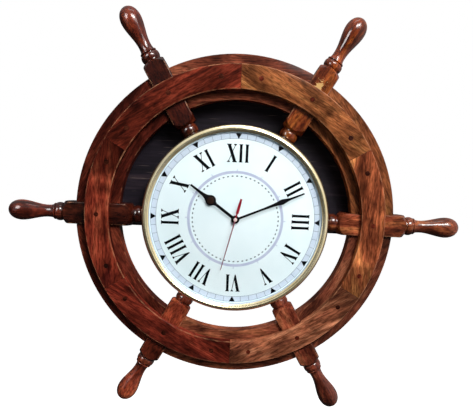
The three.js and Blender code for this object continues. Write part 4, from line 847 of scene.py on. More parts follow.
# %% Place the front ring
FRONT_WOOD = {
    "right": (0, "red_brown", "#5b2a18", "#964f30", "#c9804b"),
    "top_right": (60, "golden_brown", "#572f19", "#824b2a", "#a36b3e"),
    "top_left": (120, "mahogany", "#37110b", "#622417", "#8a3a28"),
    "left": (180, "red_brown", "#3f130e", "#732c1d", "#9e4e35"),
    "bottom_left": (240, "red_brown", "#38120c", "#6a261a", "#93412d"),
    "bottom_right": (300, "mahogany", "#552b21", "#8f5339", "#bb7e5d"),
}
END_STAINS = {
    "right": ((-85, 0.4), (-58, 0.42), (-48, 1.25), (-20, 1.0)),
    "top_left": ((-85, 1.4), (-50, 1.2), (-30, 1.0), (45, 1.0), (80, 0.5)),
    "left": ((-85, 0.3), (-56, 0.33), (-46, 1.1), (0, 1.0)),
    "bottom_right": ((60, 1.0), (76, 0.6)),
}
for place, (angle, slot, *colours) in FRONT_WOOD.items():
    piece = copy_turned(front_ring, f"ring_front_{place}_wood", angle)
    grain = {"turn": angle + 90, "seed": angle / 60 + 15, "figure": 0.3}
    grain["stain"] = END_STAINS.get(place, ())
    finishes = worn_and_highlit_pair(f"front_wood_{place}", *colours, wear_and_highlight=0.9, **grain)
    fit(piece, finishes, stands_for=[f"ring_front_{place}"])
bpy.data.objects.remove(front_ring)
print("Front segments placed:", len(FRONT_WOOD))

# %% [markdown]
# ## Plugs
# The plugs are short dowels that hide the screws. They show their end grain and sit a hair below
# the surface. A painted dot would do from afar, but a turned plug with a slightly domed top
# catches the light at its edge. One is turned and copied to all eighteen places, in three
# shades, because no two rods are alike.

# %% Plugs
plug_line = [
    (0, RING_FRONT - PLUG_DEPTH + 0.05),
    (2.8, RING_FRONT - PLUG_DEPTH + 0.05),
    (3.05, RING_FRONT - PLUG_DEPTH + 0.3),
    (3.05, RING_FRONT - 0.55),
    (2.8, RING_FRONT - 0.35),
    (1.6, RING_FRONT - 0.22),
    (0, RING_FRONT - 0.18),
]
plug = shade(lathe("plug", plug_line, 32))
shift(plug, seen(RING_MIDDLE, 0, 0))
plug_finishes = {
    "black": wood("plug_end_grain_black", "#0d0605", "#1d0c08", "#331810", turn=90, seed=31),
    "dark": wood("plug_end_grain_dark", "#1f0b07", "#3d190f", "#5d2c1c", turn=20, seed=33),
    "red": wood("plug_end_grain_red", "#2c0f08", "#521e12", "#753524", turn=65, seed=35),
}
PLUG_SHADES = {
    "right": ("red", "red", "dark"),
    "top_right": ("black", "red", "red"),
    "top_left": ("dark", "dark", "dark"),
    "left": ("dark", "dark", "black"),
    "bottom_left": ("dark", "dark", "dark"),
    "bottom_right": ("red", "red", "dark"),
}
for place, (angle, *_) in FRONT_WOOD.items():
    for number, (offset, shade_name) in enumerate(zip(PLUG_ANGLES, PLUG_SHADES[place]), start=1):
        piece = copy_turned(plug, f"plug_{place}_{number}", angle + offset)
        fit(piece, plug_finishes[shade_name])
bpy.data.objects.remove(plug)
print("Plugs placed:", len(PLUG_SHADES) * len(PLUG_ANGLES))

# %% [markdown]
# ## Back ring
# The back ring has three long segments, each over two spokes. Nobody sees it on the wall, so it
# is plain. It is swept like the front ring. The top segment has a shallow pocket for the hanger
# and a deeper one for the nail's head, both cut with flat outlines, as a router cuts them.

# %% One back segment
back_section = plain_section(RING_INNER, RING_OUTER, -RING_FRONT, -RING_BACK)
back_section = rounded(back_section, [1.2, 1.2, 0, 0])
back_ring = sweep("back_ring", back_section, 30 + JOINT_GAP, 150 - JOINT_GAP, 48)
sockets = [
    block_socket("socket", angle, -RING_BACK + 1, -clear_of_spoke) for angle in (60, 120)
]
combine(back_ring, join("sockets", sockets))
# The ring's edge strips get the paler edge finish: partly wear, partly a painted highlight.
mark_faces(back_ring, on_ring_edge)
describe(back_ring)

# %% Pocket and keyhole well
HANGER_BACK, HANGER_SEAT, WELL_DEPTH = -RING_FRONT, -RING_FRONT + 1.5, 7


def slot_outline(half_width, half_height, steps=12):
    """A bar with round ends."""
    straight = half_width - half_height
    right = [-90 + 180 * k / steps for k in range(steps + 1)]
    left = [90 + 180 * k / steps for k in range(steps + 1)]
    points = [(straight, a) for a in right] + [(-straight, a) for a in left]
    return [
        (x + half_height * math.cos(math.radians(a)), half_height * math.sin(math.radians(a)))
        for x, a in points
    ]


def keyhole_outline(grow=0.0, steps=16):
    """A round eye with a narrow slot above it."""
    slot, eye, low = 2.1 + grow, 4.2 + grow, -2.1
    meet = math.degrees(math.acos(slot / eye))
    top = [180 * k / 8 for k in range(9)]
    round_eye = [180 - meet + (180 + 2 * meet) * k / steps for k in range(steps + 1)]
    points = [(0, 4.5, slot, a) for a in top] + [(0, low, eye, a) for a in round_eye]
    return [
        (x + r * math.cos(math.radians(a)), y + r * math.sin(math.radians(a)))
        for x, y, r, a in points
    ]


top_back = copy_turned(back_ring, "ring_back_top_wood")
pocket = cut_out("pocket", slot_outline(23.3, 8.3), HANGER_BACK - 1, HANGER_SEAT)
well = cut_out("well", keyhole_outline(CLEARANCE), HANGER_SEAT - 1, HANGER_BACK + WELL_DEPTH)
for tool in (pocket, well):
    combine(top_back, shift(tool, seen(0, RING_MIDDLE, 0)))
shade(top_back)
describe(top_back)

# %% Place the back ring
BACK_WOOD = {
    "top": (90, "#3f2218", "#70452c", "#966a45"),
    "left": (210, "#371c16", "#633624", "#8a5a3c"),
    "right": (330, "#43241a", "#784a30", "#9e7049"),
}
shade(back_ring)
for place, (angle, *colours) in BACK_WOOD.items():
    name = f"ring_back_{place}_wood"
    piece = top_back if place == "top" else copy_turned(back_ring, name, angle - 90)
    grain = {"turn": angle + 90, "seed": angle / 60 + 23, "coat": 0.1}
    finishes = worn_and_highlit_pair(f"back_wood_{place}", *colours, **grain)
    fit(piece, finishes, stands_for=[f"ring_back_{place}"])
bpy.data.objects.remove(back_ring)
print("Back segments placed:", len(BACK_WOOD))

# %% [markdown]
# ## Fasteners
# Countersunk screws with a cross recess hold the hub discs together, the hanger on the rim and
# the half panel on the spokes. A screw is turned along the wheel's axis, and two crossed wedges
# cut its recess, because a driver's recess narrows towards its bottom. Each size is made once and
# then copied. The threads lie in the wood, so they are left out.


# %% Countersunk screw
def cross_recess(size, depth, face):
    """Two crossed bars whose ends slope in towards the bottom."""
    arms = []
    for number in (0, 1):
        half, thin, low = size, size * 0.16, face + depth
        outline = [(-half, face - 0.4), (half, face - 0.4), (half * 0.45, low), (-half * 0.45, low)]
        arm = fill_outline("arm", [Vector((x, -d, -thin)) * MM for x, d in outline])
        bpy.ops.mesh.extrude_region_move(TRANSFORM_OT_translate={"value": (0, 0, 2 * thin * MM)})
        close_up()
        arms.append(turn_to(arm, 90 * number))
    return arms


def screw(name, head, shank, head_height, length, face):
    """A screw whose flat head lies in a face at the back and whose tip points forward."""
    line = [
        (0, face),
        (head - 0.15, face),
        (head, face + 0.15),
        (shank, face + head_height),
        (shank, face + length - 2 * shank),
        (0, face + length),
    ]
    piece = lathe(name, line, 32)
    for arm in cross_recess(head * 0.58, head_height * 0.6, face):
        combine(piece, arm)
    return shade(piece)


screw_steel = plain_metal("screw_steel", "#8d9092", "#c9ccce", 0.28, (1.5, 1.5, 1.5))

# %% Hub screws and hanger screws
HUB_SCREW_RADIUS, HUB_SCREW_ANGLES = 78, (30, 150, 270)
HANGER_SCREWS_ACROSS = (-17, 17)
hub_screw = screw("hub_screw_master", 4.2, 2.2, 2.6, 25, -RING_FRONT)
shift(hub_screw, seen(HUB_SCREW_RADIUS, 0, 0))
for number, angle in enumerate(HUB_SCREW_ANGLES, start=1):
    piece = copy_turned(hub_screw, f"hub_screw_{number}_cross", angle)
    fit(piece, screw_steel, stands_for=[f"hub_screw_{number}"])
bpy.data.objects.remove(hub_screw)
hanger_screw = screw("hanger_screw_master", 3, 1.5, 1.5, 10, -RING_FRONT)
for number, across in enumerate(HANGER_SCREWS_ACROSS, start=1):
    piece = copy_turned(hanger_screw, f"hanger_screw_{number}_cross")
    shift(piece, seen(across, RING_MIDDLE, 0))
    fit(piece, screw_steel, stands_for=[f"hanger_screw_{number}"])
bpy.data.objects.remove(hanger_screw)
print("Screws placed:", len(HUB_SCREW_ANGLES) + len(HANGER_SCREWS_ACROSS))

# %% [markdown]
# ## Hub
# Two thick discs clamp the tenons of the spokes between them. The front one is recessed for the
# clock's case, and both are bored through so that the battery can be reached from behind. They
# could be extruded from circles, but a turned section brings the recess, the bore and the round
# edges at once. The tenon sockets are then cut across the joint, half in each disc, and the
# seams that such a cut leaves in the joint's plane are welded.

# %% Hub discs
HUB_RADIUS, HUB_BORE, HUB_FRONT = 123, 45, 13
RECESS_RADIUS, RECESS_FLOOR = 118, 8
front_disc_section = rounded(
    [
        (HUB_BORE, 0),
        (HUB_RADIUS, 0),
        (HUB_RADIUS, HUB_FRONT),
        (RECESS_RADIUS, HUB_FRONT),
        (RECESS_RADIUS, RECESS_FLOOR),
        (HUB_BORE, RECESS_FLOOR),
    ],
    [0, 0, 0.5, 0.5, 0, 0.8],
)
back_disc_section = plain_section(HUB_BORE, HUB_RADIUS, -RING_FRONT, 0)
hub_discs = {
    "front": ring("hub_front_wood", front_disc_section, 144),
    "back": ring("hub_back_wood", rounded(back_disc_section, [1.5, 3, 0, 0], steps=5), 144),
}


# %% Tenon sockets and screw holes
def tenon_socket(angle):
    line = [on_spoke(*p) for p in [(99, 0), (99, 5.3), (125, 5.3), (125, 0)]]
    return turn_to(turn("socket", line, AROUND_SPOKE, 32), angle)


def screw_hole(angle):
    line = [(0, -22), (4.5, -22), (4.5, -20.3), (2.5, -17.9), (2.5, 5), (0, 5)]
    return turn_to(shift(lathe("hole", line, 32), seen(HUB_SCREW_RADIUS, 0, 0)), angle)


for place, disc in hub_discs.items():
    combine(disc, join("sockets", [tenon_socket(60 * k) for k in range(6)]))
    combine(disc, join("holes", [screw_hole(angle) for angle in HUB_SCREW_ANGLES]))
    weld(disc)
    colours = ("#3c1f18", "#6e3c28", "#96603f")
    finish = wood(f"hub_wood_{place}", *colours, turn=12, seed=41, coat=0.1)
    shade(disc)
    describe(disc)
    fit(disc, finish, stands_for=[f"hub_{place}"])

# %% [markdown]
# ## Half panel
# A thin dark-stained panel closes the three upper windows from behind. It is a swept section
# whose lower ends are cut off level, which is how it would be sawn, and four small screws hold
# it to the spokes it crosses. The stain is even, with a fine fibre and a few thin scratches
# along the grain.

# %% Panel
PANEL_BACK, PANEL_FRONT, PANEL_BOTTOM = -18.8, -14.8, -16.5
PANEL_INNER, PANEL_OUTER = HUB_RADIUS + CLEARANCE, RING_INNER - 0.7
PANEL_SCREW_RADIUS, PANEL_SCREW_ANGLES = 147.25, (0, 60, 120, 180)
panel_section = plain_section(PANEL_INNER, PANEL_OUTER, PANEL_BACK, PANEL_FRONT)
panel = sweep("back_panel_board", panel_section, -9, 189, 96)
saw_off(panel, seen(0, PANEL_BOTTOM, 0), (0, 0, -1))
panel_holes = [
    straight_hole("hole", 1.8, -20, -13, PANEL_SCREW_RADIUS, angle) for angle in PANEL_SCREW_ANGLES
]
combine(panel, join("holes", panel_holes))
soft_edges(panel, 0.3, 50, 1)
shade(panel)
describe(panel)


# %% Stained board and its screws
def stained_board(name):
    material, tree, shader = new_finish(name)
    broad = noise(tree, laid(tree, 0, (160, 10, 10)), 5, 0.65, 0.5)
    stops = [(0.3, tone("#0c0a0f")), (0.55, tone("#17121a")), (0.75, tone("#30262b"))]
    colour = ramp(tree, broad, stops)
    fibre = noise(tree, laid(tree, 0, (30, 1.1, 1.1)), 4, 0.65)
    colour = multiply(tree, colour, ramp(tree, fibre, [(0.3, 0.65), (0.7, 1.3)]))
    scratches = noise(tree, laid(tree, 0, (45, 9, 0.9)), 2, 0.4)
    bare = ramp(tree, scratches, [(0.7, 0.0), (0.77, 0.45)])
    colour = blend(tree, bare, colour, tone("#8a7a70"))
    gloss = ramp(tree, fibre, [(0.3, 0.5), (0.7, 0.65)])
    paint(tree, shader, base_color=colour, roughness=gloss, specular_ior_level=0.12)
    relief(tree, shader, fibre, 0.15, 0.6)
    return material


fit(panel, stained_board("panel_stain"), stands_for=["back_panel"])
panel_screw = screw("panel_screw_master", 2.9, 1.4, 1.3, 9, PANEL_BACK - 0.25)
shift(panel_screw, seen(PANEL_SCREW_RADIUS, 0, 0))
for number, angle in enumerate(PANEL_SCREW_ANGLES, start=1):
    fit(copy_turned(panel_screw, f"panel_screw_{number}_cross", angle), screw_steel)
bpy.data.objects.remove(panel_screw)
print("Panel screws placed:", len(PANEL_SCREW_ANGLES))

# %% [markdown]
# ## Bezel, glass and dial
# The bezel is a thin pressed ring of pale brass: a short skirt, a broad band that leans inwards,
# a narrow crest and a slope that falls to the glass. It could be a round wire with a lip, but
# only the two slopes mirror the bright side and the dark side of the room next to each other, as
# pressed brass does. It is turned as one closed section. The glass, the white ring that holds it
# off the dial, and the dial itself are turned as well. The bezel, the glass and the white ring
# cast no shadow, so that the print stays bright right up to its edge.


# %% Bezel
def arc(start, corner, end, steps=10):
    """A curve from start to end that leans towards the corner."""
    a, b, c = Vector(start), Vector(corner), Vector(end)
    return [
        tuple((1 - t) ** 2 * a + 2 * t * (1 - t) * b + t * t * c)
        for t in (k / steps for k in range(steps + 1))
    ]


GLASS_BACK, GLASS_FRONT = 17, 19
bezel_rear = [
    (116.7, GLASS_FRONT),
    (116.7, 15.4),
    (122.4, 15.4),
    (122.4, 13),
    (124.1, 13),
]
bezel_section = [
    *bezel_rear,
    *arc((124.3, 13.2), (124.3, 14.5), (124.3, 15.5), 3),
    *arc((124.3, 16.5), (124.3, 20.0), (119.8, 22.3), 14),
    *arc((119.6, 22.4), (118.6, 22.9), (118.2, 22.1), 6),
    (118, 21.6),
    *arc((117.7, 21.4), (116.5, 21.1), (115.1, 20.2), 10),
    (114.75, 20),
    (114.6, 19.8),
    (114.6, GLASS_FRONT),
]
CLOCK_SIDES = 192
bezel = ring("bezel_pressed", bezel_section, CLOCK_SIDES)
shade(bezel, 35)
describe(bezel)
bezel_brass = turned_metal("pale_brass", "#e4d2a2", "#f4e7c4", 0.24)
fit(bezel, bezel_brass, stands_for=["bezel"])

# %% Glass and spacer
GLASS_RADIUS, SPACER_INNER = 116.4, 115.1
DIAL_BACK, DIAL_FACE, DIAL_BORE = 9, 9.8, 4.8
glass_line = plain_section(0, GLASS_RADIUS, GLASS_BACK, GLASS_FRONT)
glass = lathe("glass_pane", rounded(glass_line, [0, 0.3, 0.3, 0], steps=1), CLOCK_SIDES)
shade(glass)
fit(glass, clear_glass("window_glass"), stands_for=["glass"])
spacer_section = plain_section(SPACER_INNER, GLASS_RADIUS, DIAL_FACE, GLASS_BACK)
spacer = ring("spacer_ring", rounded(spacer_section, [0.2, 0.2, 0.2, 0.2]), CLOCK_SIDES)
shade(spacer)
spacer_white = coated("white_plastic", "#b4c0cc", "#c4cfd9", 0.5, gloss=0.1)
fit(spacer, spacer_white, stands_for=["glass_spacer"])
for piece in (bezel, glass, spacer):
    piece.visible_shadow = False
for piece in (glass, spacer):
    describe(piece)

# %% Dial
dial_section = plain_section(DIAL_BORE, GLASS_RADIUS, DIAL_BACK, DIAL_FACE)
dial = ring("dial_plate", rounded(dial_section, [0, 0.1, 0.1, 0]), CLOCK_SIDES)
shade(dial)
dial_grain = {"grain": 0.4, "depth": 0.008, "spread": 55, "gloss": 0.1}
dial_white = coated("dial_white", "#d9ebf0", "#e4f3f7", 0.6, **dial_grain)
fit(dial, dial_white, stands_for=["dial"])
describe(dial)

# %% [markdown]
# ## Print on the dial
# The print could be painted by the dial's material, but masks of that many small shapes blur
# from close by. So it is made as very thin raised shapes, in the way that thick ink stands on a
# dial. A minute track of two thin lines with sixty cells runs round the edge, and a pale ring
# with sixty dots runs inside the numerals.

# %% Printed lines
INK_TOP = DIAL_FACE + 0.06


def printed_ring(name, inner, outer, top=INK_TOP):
    return ring(name, plain_section(inner, outer, DIAL_FACE, top), CLOCK_SIDES)


def repeat_around(piece, count):
    """Copies a piece round the wheel's axis inside its own mesh."""
    activate(piece)
    bpy.ops.object.mode_set(mode="EDIT")
    bpy.ops.mesh.select_all(action="SELECT")
    last = 2 * math.pi * (count - 1) / count
    bpy.ops.mesh.spin(steps=count - 1, angle=last, dupli=True, center=(0, 0, 0), axis=AROUND_WHEEL)
    close_up()
    return piece


def printed_bar(name, half_width, inner, outer):
    outline = [(-half_width, inner), (half_width, inner), (half_width, outer), (-half_width, outer)]
    return cut_out(name, outline, DIAL_FACE, INK_TOP)


def ink(name, dark, light):
    return coated(name, dark, light, 0.6, depth=0.004, gloss=0.1)


# %% Minute track and inner ring
TRACK_INNER, TRACK_OUTER, LINE_HALF = 106.3, 113.4, 0.22
minute_line = printed_bar("minute_line", 0.25, TRACK_INNER + LINE_HALF, TRACK_OUTER - LINE_HALF)
track = join(
    "dial_minute_track",
    [
        printed_ring("outer_line", TRACK_OUTER - LINE_HALF, TRACK_OUTER + LINE_HALF),
        printed_ring("inner_line", TRACK_INNER - LINE_HALF, TRACK_INNER + LINE_HALF),
        repeat_around(minute_line, 60),
    ],
)
fit(track, ink("print_grey_blue", "#59687c", "#6b798c"))
cells = printed_ring("dial_track_cells", TRACK_INNER, TRACK_OUTER, DIAL_FACE + 0.02)
fit(cells, ink("print_cells", "#becddd", "#cad8e5"))
inner_ring = printed_ring("dial_inner_ring", 61.0, 64.6)
hour_ticks = repeat_around(printed_bar("dial_hour_ticks", 0.5, 64.4, 67.4), 12)
lilac = ink("print_lilac", "#a9b4cd", "#b9c3d9")
for piece in (inner_ring, hour_ticks):
    fit(piece, lilac)
print("Track faces:", len(track.data.polygons))

# %% Triangles and dots
triangle = [(-4.2, 113.2), (0, 105.9), (4.2, 113.2)]
hour_marks = repeat_around(cut_out("dial_hour_triangles", triangle, DIAL_FACE, INK_TOP + 0.01), 12)
black_ink = coated("print_black", "#030406", "#08090d", 0.45, depth=0.004, gloss=0.05)
fit(hour_marks, black_ink)
DOT_RADIUS = 57.6
dot = [(x, y + DOT_RADIUS) for x, y in slot_outline(1.45, 0.9, 4)]
dots = cut_out("dial_dots", dot, DIAL_FACE, INK_TOP)
repeat_around(dots, 60)
fit(dots, ink("print_grey", "#5b6871", "#6f7c85"))
describe(hour_marks)
describe(dots)

# %% [markdown]
# ## Numerals
# Roman numerals need only three letters, so no font is needed. Each letter is drawn once as a
# closed outline with thick and thin strokes and small feet, given its thickness, and then copied
# to every place where it is needed. The I and the X look the same upside down, so half of their
# outline is enough. The number before an outline is the width that the letter takes in a row.
# Their tops point outwards, as on most round dials with Roman numerals.

# %% The letters I, V and X
TALL = 23.6


def both_halves(half):
    """Adds the second half of an outline, which is the first one turned upside down."""
    return [*half, *[(-across, TALL - up) for across, up in half]]


upright = [(-2.5, 0), (2.5, 0), (2.5, 0.9), (1.75, 1.5), (1.75, TALL - 1.5), (2.5, TALL - 0.9)]
LETTERS = {
    "I": (5.6, both_halves(upright)),
    "V": (
        11.6,
        [
            (-6.3, TALL),
            (-6.3, TALL - 0.9),
            (-5.3, TALL - 1.5),
            (0.1, 0),
            (1.5, 0),
            (5.0, TALL - 2.6),
            (6.4, TALL - 0.9),
            (6.4, TALL),
            (2.9, TALL),
            (2.9, TALL - 0.9),
            (4.2, TALL - 2.6),
            (1.95, 7.6),
            (-1.3, TALL - 1.5),
            (-0.5, TALL - 0.9),
            (-0.5, TALL),
        ],
    ),
    "X": (
        13.2,
        both_halves(
            [
                (-7.0, TALL),
                (-7.0, TALL - 0.9),
                (-5.9, TALL - 1.4),
                (-1.36, 9.45),
                (-4.3, 2.3),
                (-6.2, 0.9),
                (-6.2, 0),
                (-2.3, 0),
                (-2.3, 0.9),
                (-3.4, 2.3),
                (-0.93, 8.25),
                (1.55, 1.4),
                (0.6, 0.9),
                (0.6, 0),
            ]
        ),
    ),
}
masters = {
    letter: cut_out(f"letter_{letter}", outline, DIAL_FACE, INK_TOP + 0.01)
    for letter, (_, outline) in LETTERS.items()
}
for piece in masters.values():
    describe(piece)

# %% Set the numerals
NUMERALS = ["I", "II", "III", "IV", "V", "VI", "VII", "VIII", "IX", "X", "XI", "XII"]
NUMERAL_FOOT, LETTER_SPACE = 75.6, 2.4
placed = []
for hour, numeral in enumerate(NUMERALS, start=1):
    widths = [LETTERS[letter][0] for letter in numeral]
    left = -(sum(widths) + LETTER_SPACE * (len(widths) - 1)) / 2
    for letter, width in zip(numeral, widths):
        copy = copy_turned(masters[letter], f"numeral_{hour}")
        shift(copy, seen(left + width / 2, NUMERAL_FOOT, 0))
        placed.append(turn_to(copy, -30 * hour))
        left += width + LETTER_SPACE
for piece in masters.values():
    bpy.data.objects.remove(piece)
numerals = join("dial_numerals", placed)
fit(numerals, black_ink)
describe(numerals)

# %% [markdown]
# ## Hands
# The hands are stamped from thin sheet. The hour hand has a round bulb that draws out to a
# narrow tip, the minute hand a slim lozenge, and the second hand a thick red tail. Each is drawn
# pointing to twelve, half of its outline at a time, so that both sides match, and then turned to
# its place. The eye that fits on the arbor is a disc joined to the blade and bored through.


# %% From half an outline to a hand
def mirrored(half):
    return [*half, *[(-across, up) for across, up in reversed(half)]]


def hand(name, half, eye_radius, bore_radius, back, front, clockwise):
    """A flat hand between two depths, turned clockwise from twelve by an angle."""
    blade = cut_out(name, mirrored(half), back, front)
    combine(blade, straight_hole("eye", eye_radius, back, front, 0, 0, 64), "UNION")
    combine(blade, straight_hole("bore", bore_radius, back - 1, front + 1, 0, 0, 48))
    soft_edges(blade, 0.12, 50, 2)
    shade(blade)
    describe(blade)
    return turn_to(blade, -clockwise)


# %% Hour and minute hands
HOUR_ANGLE, MINUTE_ANGLE, SECOND_ANGLE = 305.9, 66.8, 194
BULB_PLACE, BULB_RADIUS = 41.5, 7.1
bulb = [
    (BULB_RADIUS * math.cos(math.radians(a)), BULB_PLACE + BULB_RADIUS * math.sin(math.radians(a)))
    for a in range(-68, 41, 9)
]
taper = smooth_line([bulb[-1], (3.5, 49.4), (2.4, 53.5), (1.95, 58.5), (1.7, 64)], 4)[1:]
hour_half = [(1.95, 0), (1.95, 33.2), (2.7, 33.6), *bulb, *taper, (1.2, 75)]
hour_hand = hand("hour_hand_blade", hour_half, 5.4, 3.6, 12.9, 13.5, HOUR_ANGLE)
hand_black = coated("hand_black", "#040405", "#0a0a0c", 0.35, depth=0.006, gloss=0.1)
fit(hour_hand, hand_black, "hour", ["hour_hand"])
lozenge = [(1.4, 38), (1.75, 50), (2.3, 59), (3.5, 65.5), (3.4, 68), (2.4, 73), (1.35, 79)]
minute_half = [(1.55, 0), *smooth_line(lozenge, 3), (1.0, 98)]
minute_hand = hand("minute_hand_blade", minute_half, 4.1, 2.2, 14.2, 14.8, MINUTE_ANGLE)
shade(weld(minute_hand))
fit(minute_hand, hand_black, "minute", ["minute_hand"])

# %% Second hand, its cap and the hour hand's boss
second_half = [(1.3, -28.8), (1.85, -20), (1.85, -9), (1.0, -7.6), (0.9, 0), (0.5, 71)]
second_hand = hand("second_hand_blade", second_half, 2.2, 0.2, 15.5, 15.8, SECOND_ANGLE)
tail_red = coated("tail_red", "#6c0d1c", "#8b1526", 0.35, depth=0.006, gloss=0.15)
needle_mauve = coated("needle_mauve", "#7d4c58", "#93626d", 0.4, depth=0.006, gloss=0.15)
tail_way = seen(math.sin(math.radians(SECOND_ANGLE)), math.cos(math.radians(SECOND_ANGLE)), 0)
print("Needle faces:", mark_faces(second_hand, lambda face: face.center.dot(tail_way) > 0))
fit(second_hand, [tail_red, needle_mauve], "second", ["second_hand"])
cap_line = [(0, 15.6), (2.3, 15.6), (2.45, 15.8), (2.35, 16.2), (1.8, 16.45), (1, 16.5), (0, 16.5)]
cap = shade(lathe("second_hand_cap", cap_line, 48), 50)
fit(cap, coated("cap_pink", "#d8b9b6", "#ecd5d1", 0.3), "second")
boss_line = [(0, 13.45), (4.7, 13.45), (4.7, 13.6), (3.9, 13.85), (2.2, 14.0), (0, 14.05)]
boss = shade(lathe("hour_hand_boss", boss_line, 48), 50)
turn_to(shift(boss, seen(0, BULB_PLACE, 0)), -HOUR_ANGLE)
fit(boss, coated("boss_brown", "#1f120c", "#342016", 0.3, gloss=0.15), "hour")

# %% [markdown]
# ## Finishes for the solids that stay
# The case, the nut and the whole movement keep the shapes of the solid model, which already has
# every tooth and tab that they need, so they only get new finishes. They are seen from behind,
# through the bore of the hub.

# %% Movement and case
KEPT = {
    "clock_case": turned_metal("case_brass", "#8f7a48", "#bda468", 0.32, pitch=0.8),
    "washer": hand_black,
    "nut": hand_black,
    "hanger": plain_metal("hanger_steel", "#85888b", "#b7babd", 0.35, (14, 0.6, 0.6)),
    "stator": plain_metal("stator_iron", "#5d6062", "#8b8e90", 0.38, (6, 0.4, 0.4)),
    "coil_core": plain_metal("core_iron", "#5a5c5e", "#85888a", 0.4),
    "coil": plain_metal("coil_copper", "#8c4a22", "#c77a44", 0.3, (0.25, 40, 40)),
    "rotor_magnet": plain_metal("magnet_grey", "#3f4143", "#5c5f62", 0.4, (2, 2, 2)),
    "quartz_crystal": plain_metal("crystal_can", "#a6a9ac", "#d2d4d6", 0.25),
    "circuit_board": coated("board_green", "#1f4a30", "#2f6a45", 0.45, grain=1.2),
    "battery": coated("battery_jacket", "#6f7276", "#8f9296", 0.35, spread=30),
}
steel_spring = plain_metal("spring_steel", "#9a9da0", "#c6c9cb", 0.28)
train_white = coated("train_white", "#dcdcd6", "#eeeee9", 0.45)
box_black = coated("box_black", "#141416", "#232326", 0.55, grain=0.8, depth=0.04)
for name in ("contact_positive", "contact_negative"):
    KEPT[name] = steel_spring
for name in ("movement_housing", "movement_cover", "setting_knob"):
    KEPT[name] = box_black
for name in (
    "train_bridge",
    "centre_wheel",
    "third_wheel",
    "second_wheel",
    "intermediate_wheel",
    "rotor_pinion",
    "minute_wheel",
    "hour_wheel",
):
    KEPT[name] = train_white
for name, finish in KEPT.items():
    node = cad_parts[name]
    node.data.materials.clear()
    node.data.materials.append(finish)
print("Solids with a new finish:", len(KEPT))

# %% [markdown]
# ## Camera
# The camera stands a little above the middle and looks slightly down, at the angle of the
# photograph. It could be aimed at a target object, but three angles say plainly how it leans. A
# small shift of the lens centres the wheel without turning the camera.

# %% Camera
PITCH, YAW, ROLL = (math.radians(a) for a in (9.19, 1.10, 2.60))
forward = Vector(
    (math.sin(YAW) * math.cos(PITCH), math.cos(YAW) * math.cos(PITCH), -math.sin(PITCH))
)
level = Vector((math.cos(YAW), -math.sin(YAW), 0))
upward = level.cross(forward)
right = math.cos(ROLL) * level + math.sin(ROLL) * upward
up = right.cross(forward)
deselect_all()
bpy.ops.object.camera_add(location=(-0.0022, -0.6994, 0.076))
camera = bpy.context.object
camera.name = "camera"
camera.rotation_euler = Matrix([right, up, -forward]).transposed().to_euler()
camera.data.lens = 39.36
camera.data.shift_x = -0.01226
camera.data.shift_y = 0.0782
bpy.context.scene.camera = camera
print("Camera height above the middle, mm:", round(camera.location.z / MM))

# %% [markdown]
# ## Light and stage
# A small key light and a broad one stand at the upper right. Weaker ones fill the left side and
# the top, and one lights the back. The key is hard, so it casts no shadow of the hands: the broad
# light gives them a faint one. Two windows shine on the turned wood alone, and only as gloss,
# because flat varnished faces would mirror them as a grey haze.
#
# The surroundings look white to the camera, but what brass and varnish mirror is a room with a
# bright side at the upper right that dims towards the lower left and behind the clock. A plain
# white room would turn every polished piece pale. The floor is far below, as under a clock on a
# wall, and lights nothing.


# %% Lights
def soft_light(name, place, size, power, colour=(1, 1, 1)):
    """A rectangular light that faces the middle of the wheel."""
    deselect_all()
    bpy.ops.object.light_add(type="AREA", location=place)
    light = bpy.context.object
    light.name = name
    light.rotation_euler = (-Vector(place)).to_track_quat("-Z", "Y").to_euler()
    light.data.shape = "RECTANGLE"
    light.data.size, light.data.size_y = size
    light.data.energy = power
    light.data.color = colour
    return light


key = soft_light("key_light", (0.7, -1.15, 1.15), (0.3, 0.25), 26, (1, 0.98, 0.95))
hands = bpy.data.collections.new("hands")
for piece in (hour_hand, minute_hand, second_hand):
    hands.objects.link(piece)
for entry in hands.collection_objects:
    entry.light_linking.link_state = "EXCLUDE"
key.light_linking.blocker_collection = hands
soft_light("fill_light", (-1.2, -0.9, 0.2), (0.7, 0.9), 2, (0.93, 0.96, 1))
soft_light("top_light", (0.1, -0.25, 1.6), (1.0, 0.3), 5)
soft_light("broad_light", (0.65, -1.15, 1.1), (1.1, 0.9), 29)
behind = soft_light("back_light", (-0.5, 1.6, 0.7), (1.2, 0.9), 24)
behind.visible_glossy = False

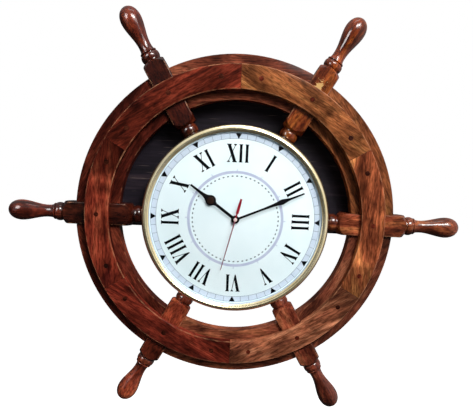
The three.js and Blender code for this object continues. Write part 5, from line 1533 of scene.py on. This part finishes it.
# %% Windows for the turned wood
turned_wood = bpy.data.collections.new("turned_wood")
for place in SPOKES:
    turned_wood.objects.link(bpy.data.objects[f"spoke_{place}_turned"])
windows = [
    soft_light("left_window", (-0.9, -1.0, 0.6), (0.5, 0.6), 24),
    soft_light("upper_window", (0.25, -1.0, 0.95), (0.4, 0.3), 16),
]
for window in windows:
    window.visible_diffuse = False
    window.light_linking.receiver_collection = turned_wood

# %% Surroundings
BRIGHT_SIDE = (0.55, 0, 0.83)
TENT = [(0.2, 0.08), (0.35, 0.2), (0.45, 0.3), (0.55, 0.8), (0.75, 1.0), (1.0, 1.1)]
FRONT_TO_BACK = [(0.0, 0.15), (0.05, 0.2), (0.1, 0.9), (0.75, 1.0), (0.9, 0.25), (1.0, 0.05)]
world = bpy.data.worlds.new("surroundings")
world.use_nodes = True
bpy.context.scene.world = world
sky = world.node_tree
way = add_node(sky, "ShaderNodeTexCoord", {}).outputs["Generated"]
ends = {0: way, 1: BRIGHT_SIDE}
towards = add_node(sky, "ShaderNodeVectorMath", ends, operation="DOT_PRODUCT").outputs[1]
tent = ramp(sky, centred(sky, towards, 1.0), TENT)
backwards = add_node(sky, "ShaderNodeSeparateXYZ", {0: way}).outputs[1]
sides = ramp(sky, centred(sky, backwards, 1.0), FRONT_TO_BACK)
room = multiply(sky, tent, sides)
rays = add_node(sky, "ShaderNodeLightPath", {}).outputs
unseen = blend(sky, rays["Is Glossy Ray"], (0.08, 0.08, 0.08, 1), room)
surroundings = blend(sky, rays["Is Camera Ray"], unseen, (1, 1, 1, 1))
sky.links.new(surroundings, sky.nodes["Background"].inputs["Color"])
print("Bright side of the room:", BRIGHT_SIDE)

# %% Floor
deselect_all()
bpy.ops.mesh.primitive_plane_add(size=14, location=(0, 4, -1.3))
floor = bpy.context.object
floor.name = floor.data.name = "floor"
finish, tree, shader = new_finish("pale_floor")
paint(tree, shader, base_color=tone("#f6f6f5"), roughness=0.8, emission_color=(1, 1, 1, 1))
shader.inputs["Emission Strength"].default_value = 0.9
floor.data.materials.append(finish)
floor.visible_diffuse = floor.visible_glossy = False
bpy.context.scene.view_settings.view_transform = "Standard"
print("Floor below the middle, mm:", round(-floor.location.z / MM))
